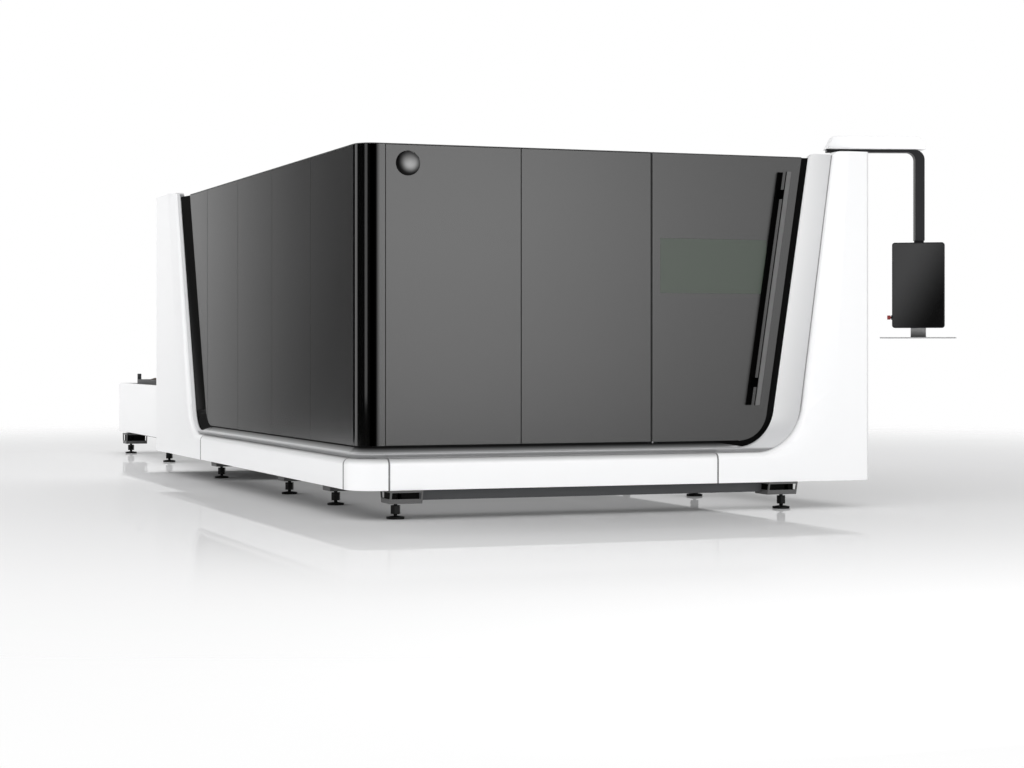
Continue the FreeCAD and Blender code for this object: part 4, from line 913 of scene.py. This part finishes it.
class LASER_OT_mouldings(Step, Operator):
    """Finish the white skirt and the columns"""
    bl_idname = "laser_cutter.mouldings"
    bl_label = "Skirt and columns"

    def work(self, scene):
        chosen = scene.laser_mouldings
        white = jointed_coat("white_powder_coat", chosen.white)
        # the skirts' coat also has painted shade on its rolled top edge and in its joints
        rolled = jointed_coat("white_skirt_coat", chosen.white, 0.70)
        for node in ("skirt_corner", "skirt_front", "skirt_left", "skirt_right"):
            dress(node, rolled, chosen.edge)
        for node, axis, lean in (("front_column", "x", front_column_lean),
                                 ("rear_left_column", "y", rear_column_lean),
                                 ("rear_right_column", "y", rear_column_lean)):
            dress(node, white, chosen.edge,
                  shape=lambda piece: round_shoulder(piece, axis, 1, lean, chosen.shoulder))


class LASER_OT_trims(Step, Operator):
    """Finish the silver bands round the panels"""
    bl_idname = "laser_cutter.trims"
    bl_label = "Silver bands"

    def work(self, scene):
        chosen = scene.laser_mouldings
        band_edge = 1.5

        def band(node, material, *corners):
            """Dress a band and round its shoulders, each given as (axis, sign, lean)."""
            def shoulders(piece):
                for corner in corners:
                    round_shoulder(piece, *corner, chosen.shoulder)

            dress(node, material, chosen.edge * band_edge, 25.0, 3, shoulders)

        silver = silver_band("satin_silver", chosen.silver)
        column = silver_band("satin_silver_column", chosen.silver, "trim_front_column",
                             front_band_lean, front_column_lean)
        band("trim_corner", silver)
        band("trim_front", silver)
        band("trim_left", silver)
        band("trim_front_column", column, ("x", 1, front_band_lean))
        band("trim_rear_left", silver, ("y", 1, rear_band_lean))
        band("trim_right", silver, ("y", 1, rear_band_lean), ("y", -1, front_band_lean))


class LASER_OT_seals(Step, Operator):
    """Finish the rubber between bands and panels"""
    bl_idname = "laser_cutter.seals"
    bl_label = "Rubber seals"

    def work(self, scene):
        chosen = scene.laser_mouldings
        rubber = seal_rubber("seal_rubber", chosen.rubber, chosen.silver)
        for node in ("gasket_front", "gasket_left", "gasket_right"):
            dress(node, rubber)


class LASER_OT_panels(Step, Operator):
    """Finish the grey panels, with a painted dark reflection on the gloss sheet round the front
    corner
    """
    bl_idname = "laser_cutter.panels"
    bl_label = "Panels"

    def work(self, scene):
        chosen = scene.laser_panels
        grey = panel_coat("grey_powder_coat", chosen.grey)
        for node in ("front_panel_1", "front_panel_2", "left_panels", "right_panels"):
            dress(node, grey, chosen.edge)
        clearance = 0.0002
        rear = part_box("corner_panel")[1].y
        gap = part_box("left_panels")[0].y - rear - clearance

        def close_joint(piece):
            """Let the corner's sheet reach the first panel of the left side."""
            for vertex in piece.data.vertices:
                if vertex.co.y > rear - SAME_HEIGHT:
                    vertex.co.y += gap

        # the corner's coat carries a painted dark reflection where it turns round the corner
        dress("corner_panel", corner_wrap("corner_powder_coat", chosen.grey),
              shape=close_joint)


class LASER_OT_roof(Step, Operator):
    """Finish the roof and fasten it with low screws"""
    bl_idname = "laser_cutter.roof"
    bl_label = "Roof"

    def work(self, scene):
        chosen = scene.laser_panels
        roof = powder_coat("roof_powder_coat", chosen.roof, 0.42, spread=0.03)
        dress("roof_panels", roof, FINE_EDGE)
        low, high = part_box("roof_panels")
        inset, head_height = 0.070, 0.004
        left, right = low.x + inset, high.x - inset
        front, rear = low.y + inset, high.y - inset / 2.0
        across = max(2, round((right - left) / chosen.screw_pitch))
        along = max(2, round((rear - front) / chosen.screw_pitch))
        spots = [Vector((x, front + (rear - front) * step / along, high.z))
                 for x in (left, right) for step in range(1, along)]
        spots += [Vector((left + (right - left) * step / across, rear, high.z))
                  for step in range(1, across)]
        screws = copies(pan_screw(chosen.screw, head_height), spots)
        settle(screws, "roof_screws", body_of("roof_panels"), roof)


class LASER_OT_door(Step, Operator):
    """Finish the door leaf, its window, the handle and the pivots"""
    bl_idname = "laser_cutter.door"
    bl_label = "Door"

    def work(self, scene):
        chosen = scene.laser_door
        panels = scene.laser_panels
        dress("door_panel", panel_coat("door_powder_coat", panels.grey),
              panels.edge)
        dress("door_window", tinted_glass("window_tint", chosen.tint))
        low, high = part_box("door_handle")
        bar_depth, bar_width = 0.019, 0.034
        slope = (high.x - low.x - bar_width) / (high.z - low.z)

        def set_bar(piece):
            """Move the bar in front of the standoffs towards the seal, and widen it."""
            for vertex in piece.data.vertices:
                place = vertex.co
                if place.y < low.y + bar_depth:
                    middle = low.x + bar_width / 2.0 + slope * (place.z - low.z)
                    place.x += chosen.bar_shift + math.copysign(chosen.bar_spread,
                                                                place.x - middle)

        dress("door_handle",
              handle_paint("handle_coat", chosen.plate, chosen.handle), MACHINED_EDGE, segments=3,
              shape=set_bar)
        steel = scene.laser_inside.steel
        coat_node("door_pivot_pins", brushed_metal("pivot_steel", steel, 0.3, (1, 1, 12)))


class LASER_OT_badge(Step, Operator):
    """Finish the round badge, left bare"""
    bl_idname = "laser_cutter.badge"
    bl_label = "Badge"

    def work(self, scene):
        chosen = scene.laser_panels
        metal = domed_metal("badge_metal", chosen.badge, 0.40, *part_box("badge"))
        dress("badge", metal)


class LASER_OT_rear(Step, Operator):
    """Finish the rear wall and the cover of the exchange table"""
    bl_idname = "laser_cutter.rear"
    bl_label = "Rear wall and table cover"

    def work(self, scene):
        white = powder_coat("cover_powder_coat", scene.laser_mouldings.white, 0.36,
                            coat=0.2, spread=0.01)
        dress("rear_wall", white, SHEET_EDGE)
        dress("table_cover", white, TUBE_EDGE, segments=3)


class LASER_OT_feet(Step, Operator):
    """Finish the levelling feet and their brackets, with the blocks that guide the screws"""
    bl_idname = "laser_cutter.feet"
    bl_label = "Feet"

    def blocks(self, material):
        """Two blocks on the floor of each bracket, one on each side of its screw."""
        plate, side_margin, end_margin, clear, edge = 0.006, 0.012, 0.032, 0.0005, 0.002
        screws = islands("foot_screws")
        made = []
        for low, high in islands("foot_brackets"):
            screw = next(pair for pair in screws
                         if low.x < pair[0].x < high.x and low.y < pair[0].y < high.y)
            y = (low.y + end_margin, high.y - end_margin)
            z = (low.z + plate, high.z - plate - clear)
            for x in ((low.x + side_margin, screw[0].x - clear),
                      (screw[1].x + clear, high.x - side_margin)):
                made.append(brick(*zip(x, y, z)))
        blocks = joined(made)
        modify(blocks, "BEVEL", width=edge, segments=2, limit_method="ANGLE")
        settle(blocks, "foot_blocks", body_of("foot_brackets"), material)

    def work(self, scene):
        chosen = scene.laser_feet
        zinc = plated_steel("plated_steel", chosen.zinc)
        dress("foot_pads", zinc, SMALL_EDGE)
        dress("foot_nuts", zinc, SMALL_EDGE)
        dress("foot_brackets", powder_coat("bracket_paint", chosen.bracket, 0.45),
              SMALL_EDGE)
        dress("foot_screws", threaded("foot_thread", chosen.zinc))
        self.blocks(moulded("block_paint", shade_of(chosen.zinc, 0.15), 0.5, specular=0.05))


class LASER_OT_frame(Step, Operator):
    """Finish the tube frame, the bed, the base and the laser source's cabinet"""
    bl_idname = "laser_cutter.frame"
    bl_label = "Frame and bed"

    def work(self, scene):
        chosen = scene.laser_inside
        frame_paint = powder_coat("frame_paint", chosen.frame, 0.5, spread=0.06)
        bed_paint = powder_coat("bed_paint", chosen.bed, 0.48, spread=0.06)
        for node in ("frame_rails", "frame_posts", "base_beams", "table_beams",
                     "table_cross_members"):
            dress(node, frame_paint, TUBE_EDGE)
        for node in ("bed_beams", "pallet_tracks"):
            dress(node, bed_paint, TUBE_EDGE)
        white = powder_coat("cabinet_paint", scene.laser_mouldings.white, 0.4)
        dress("laser_source", white, MACHINED_EDGE)
        steel = brushed_metal("ground_steel", chosen.steel, 0.28, (1, 14, 1))
        dress("guide_rails", steel, MACHINED_EDGE)


class LASER_OT_pallets(Step, Operator):
    """Finish the two pallets: painted frames and burnt slats"""
    bl_idname = "laser_cutter.pallets"
    bl_label = "Pallets"

    def work(self, scene):
        chosen = scene.laser_inside
        paint = powder_coat("pallet_paint", chosen.bed, 0.5, spread=0.12)
        slats = burnt_plate("burnt_slats", chosen.slat)
        for level in ("upper", "lower"):
            dress(level + "_pallet_frame", paint, MACHINED_EDGE)
            coat_node(level + "_pallet_slats", slats)


class LASER_OT_gantry(Step, Operator):
    """Finish the gantry, the carriage and the cutting head"""
    bl_idname = "laser_cutter.gantry"
    bl_label = "Gantry and head"

    def work(self, scene):
        chosen = scene.laser_inside
        cast = powder_coat("gantry_paint", chosen.gantry, 0.42, spread=0.04)
        steel = brushed_metal("truck_steel", chosen.steel, 0.32, (1, 14, 1))
        dress("gantry_beam", cast, CAST_EDGE)
        dress("gantry_trucks", steel, MACHINED_EDGE)
        plate = brushed_metal("milled_aluminium", (0.62, 0.63, 0.64), 0.34, (1, 1, 14))
        dress("carriage", plate, MACHINED_EDGE)
        dress("z_slide", plate, MACHINED_EDGE)
        dress("cutting_head",
              moulded("head_paint", scene.laser_arm.tube, 0.35, coat=0.2), HEAD_EDGE)


class LASER_OT_arm(Step, Operator):
    """Finish the control arm: pivot, black tube and white cover"""
    bl_idname = "laser_cutter.arm"
    bl_label = "Control arm"

    def work(self, scene):
        chosen = scene.laser_arm
        tube = powder_coat("arm_powder_coat", chosen.tube, 0.34, spread=0.05, specular=0.15)
        dress("arm_tube", tube, CAST_EDGE, segments=3)
        white = powder_coat("arm_cover_coat", scene.laser_mouldings.white, 0.34,
                            coat=0.2, spread=0.008)
        dress("arm_cover", white, COVER_EDGE, segments=3)
        dress("arm_pivot", white, THIN_EDGE)


class LASER_OT_monitor(Step, Operator):
    """Finish the monitor with its glass, stop button, bracket and shelf"""
    bl_idname = "laser_cutter.monitor"
    bl_label = "Monitor"

    def work(self, scene):
        chosen = scene.laser_arm
        shell = moulded("monitor_shell", chosen.tube, 0.34, specular=0.2)
        dress("monitor_housing", shell, HOUSING_EDGE, segments=3)
        glass = screen_glass("monitor_glass", chosen.glass, chosen.sheen, *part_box("monitor_screen"))
        dress("monitor_screen", glass, FINE_EDGE)
        dress("stop_button", moulded("stop_red", chosen.button, 0.34), TUBE_EDGE,
              segments=3)
        shelf_top, housing_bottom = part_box("keyboard_shelf")[1].z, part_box("monitor_housing")[0].z
        # painted light on the bracket, brighter towards the monitor
        steel = painted_light_steel("bracket_steel", chosen.steel, shelf_top, housing_bottom)
        dress("shelf_bracket", steel, THIN_EDGE)
        shelf = powder_coat("shelf_coat", chosen.shelf, 0.36)
        dress("keyboard_shelf", shelf, SMALL_EDGE)


OPERATORS = tuple(Step.__subclasses__())


class LASER_PT_pieces(Panel):
    """Lists the sizes and colours, and a button for each group of pieces"""
    bl_idname = "LASER_PT_pieces"
    bl_label = "Laser Cutter"
    bl_space_type = "VIEW_3D"
    bl_region_type = "UI"
    bl_category = "Laser Cutter"

    def draw(self, context):
        for name, group in SETTINGS.items():
            box = self.layout.box()
            box.label(text=group.__doc__)
            chosen = getattr(context.scene, name)
            for setting in group.__annotations__:
                box.prop(chosen, setting)
        for operator in OPERATORS:
            self.layout.operator(operator.bl_idname)


CLASSES = (*SETTINGS.values(), *OPERATORS, LASER_PT_pieces)


def register():
    for kind in CLASSES:
        bpy.utils.register_class(kind)
    for name, group in SETTINGS.items():
        setattr(bpy.types.Scene, name, PointerProperty(type=group))


def unregister():
    for name in SETTINGS:
        delattr(bpy.types.Scene, name)
    for kind in reversed(CLASSES):
        bpy.utils.unregister_class(kind)


def main():
    register()
    for operator in OPERATORS:
        getattr(bpy.ops.laser_cutter, operator.bl_idname.split(".")[1])()


if __name__ == "__main__":
    main()
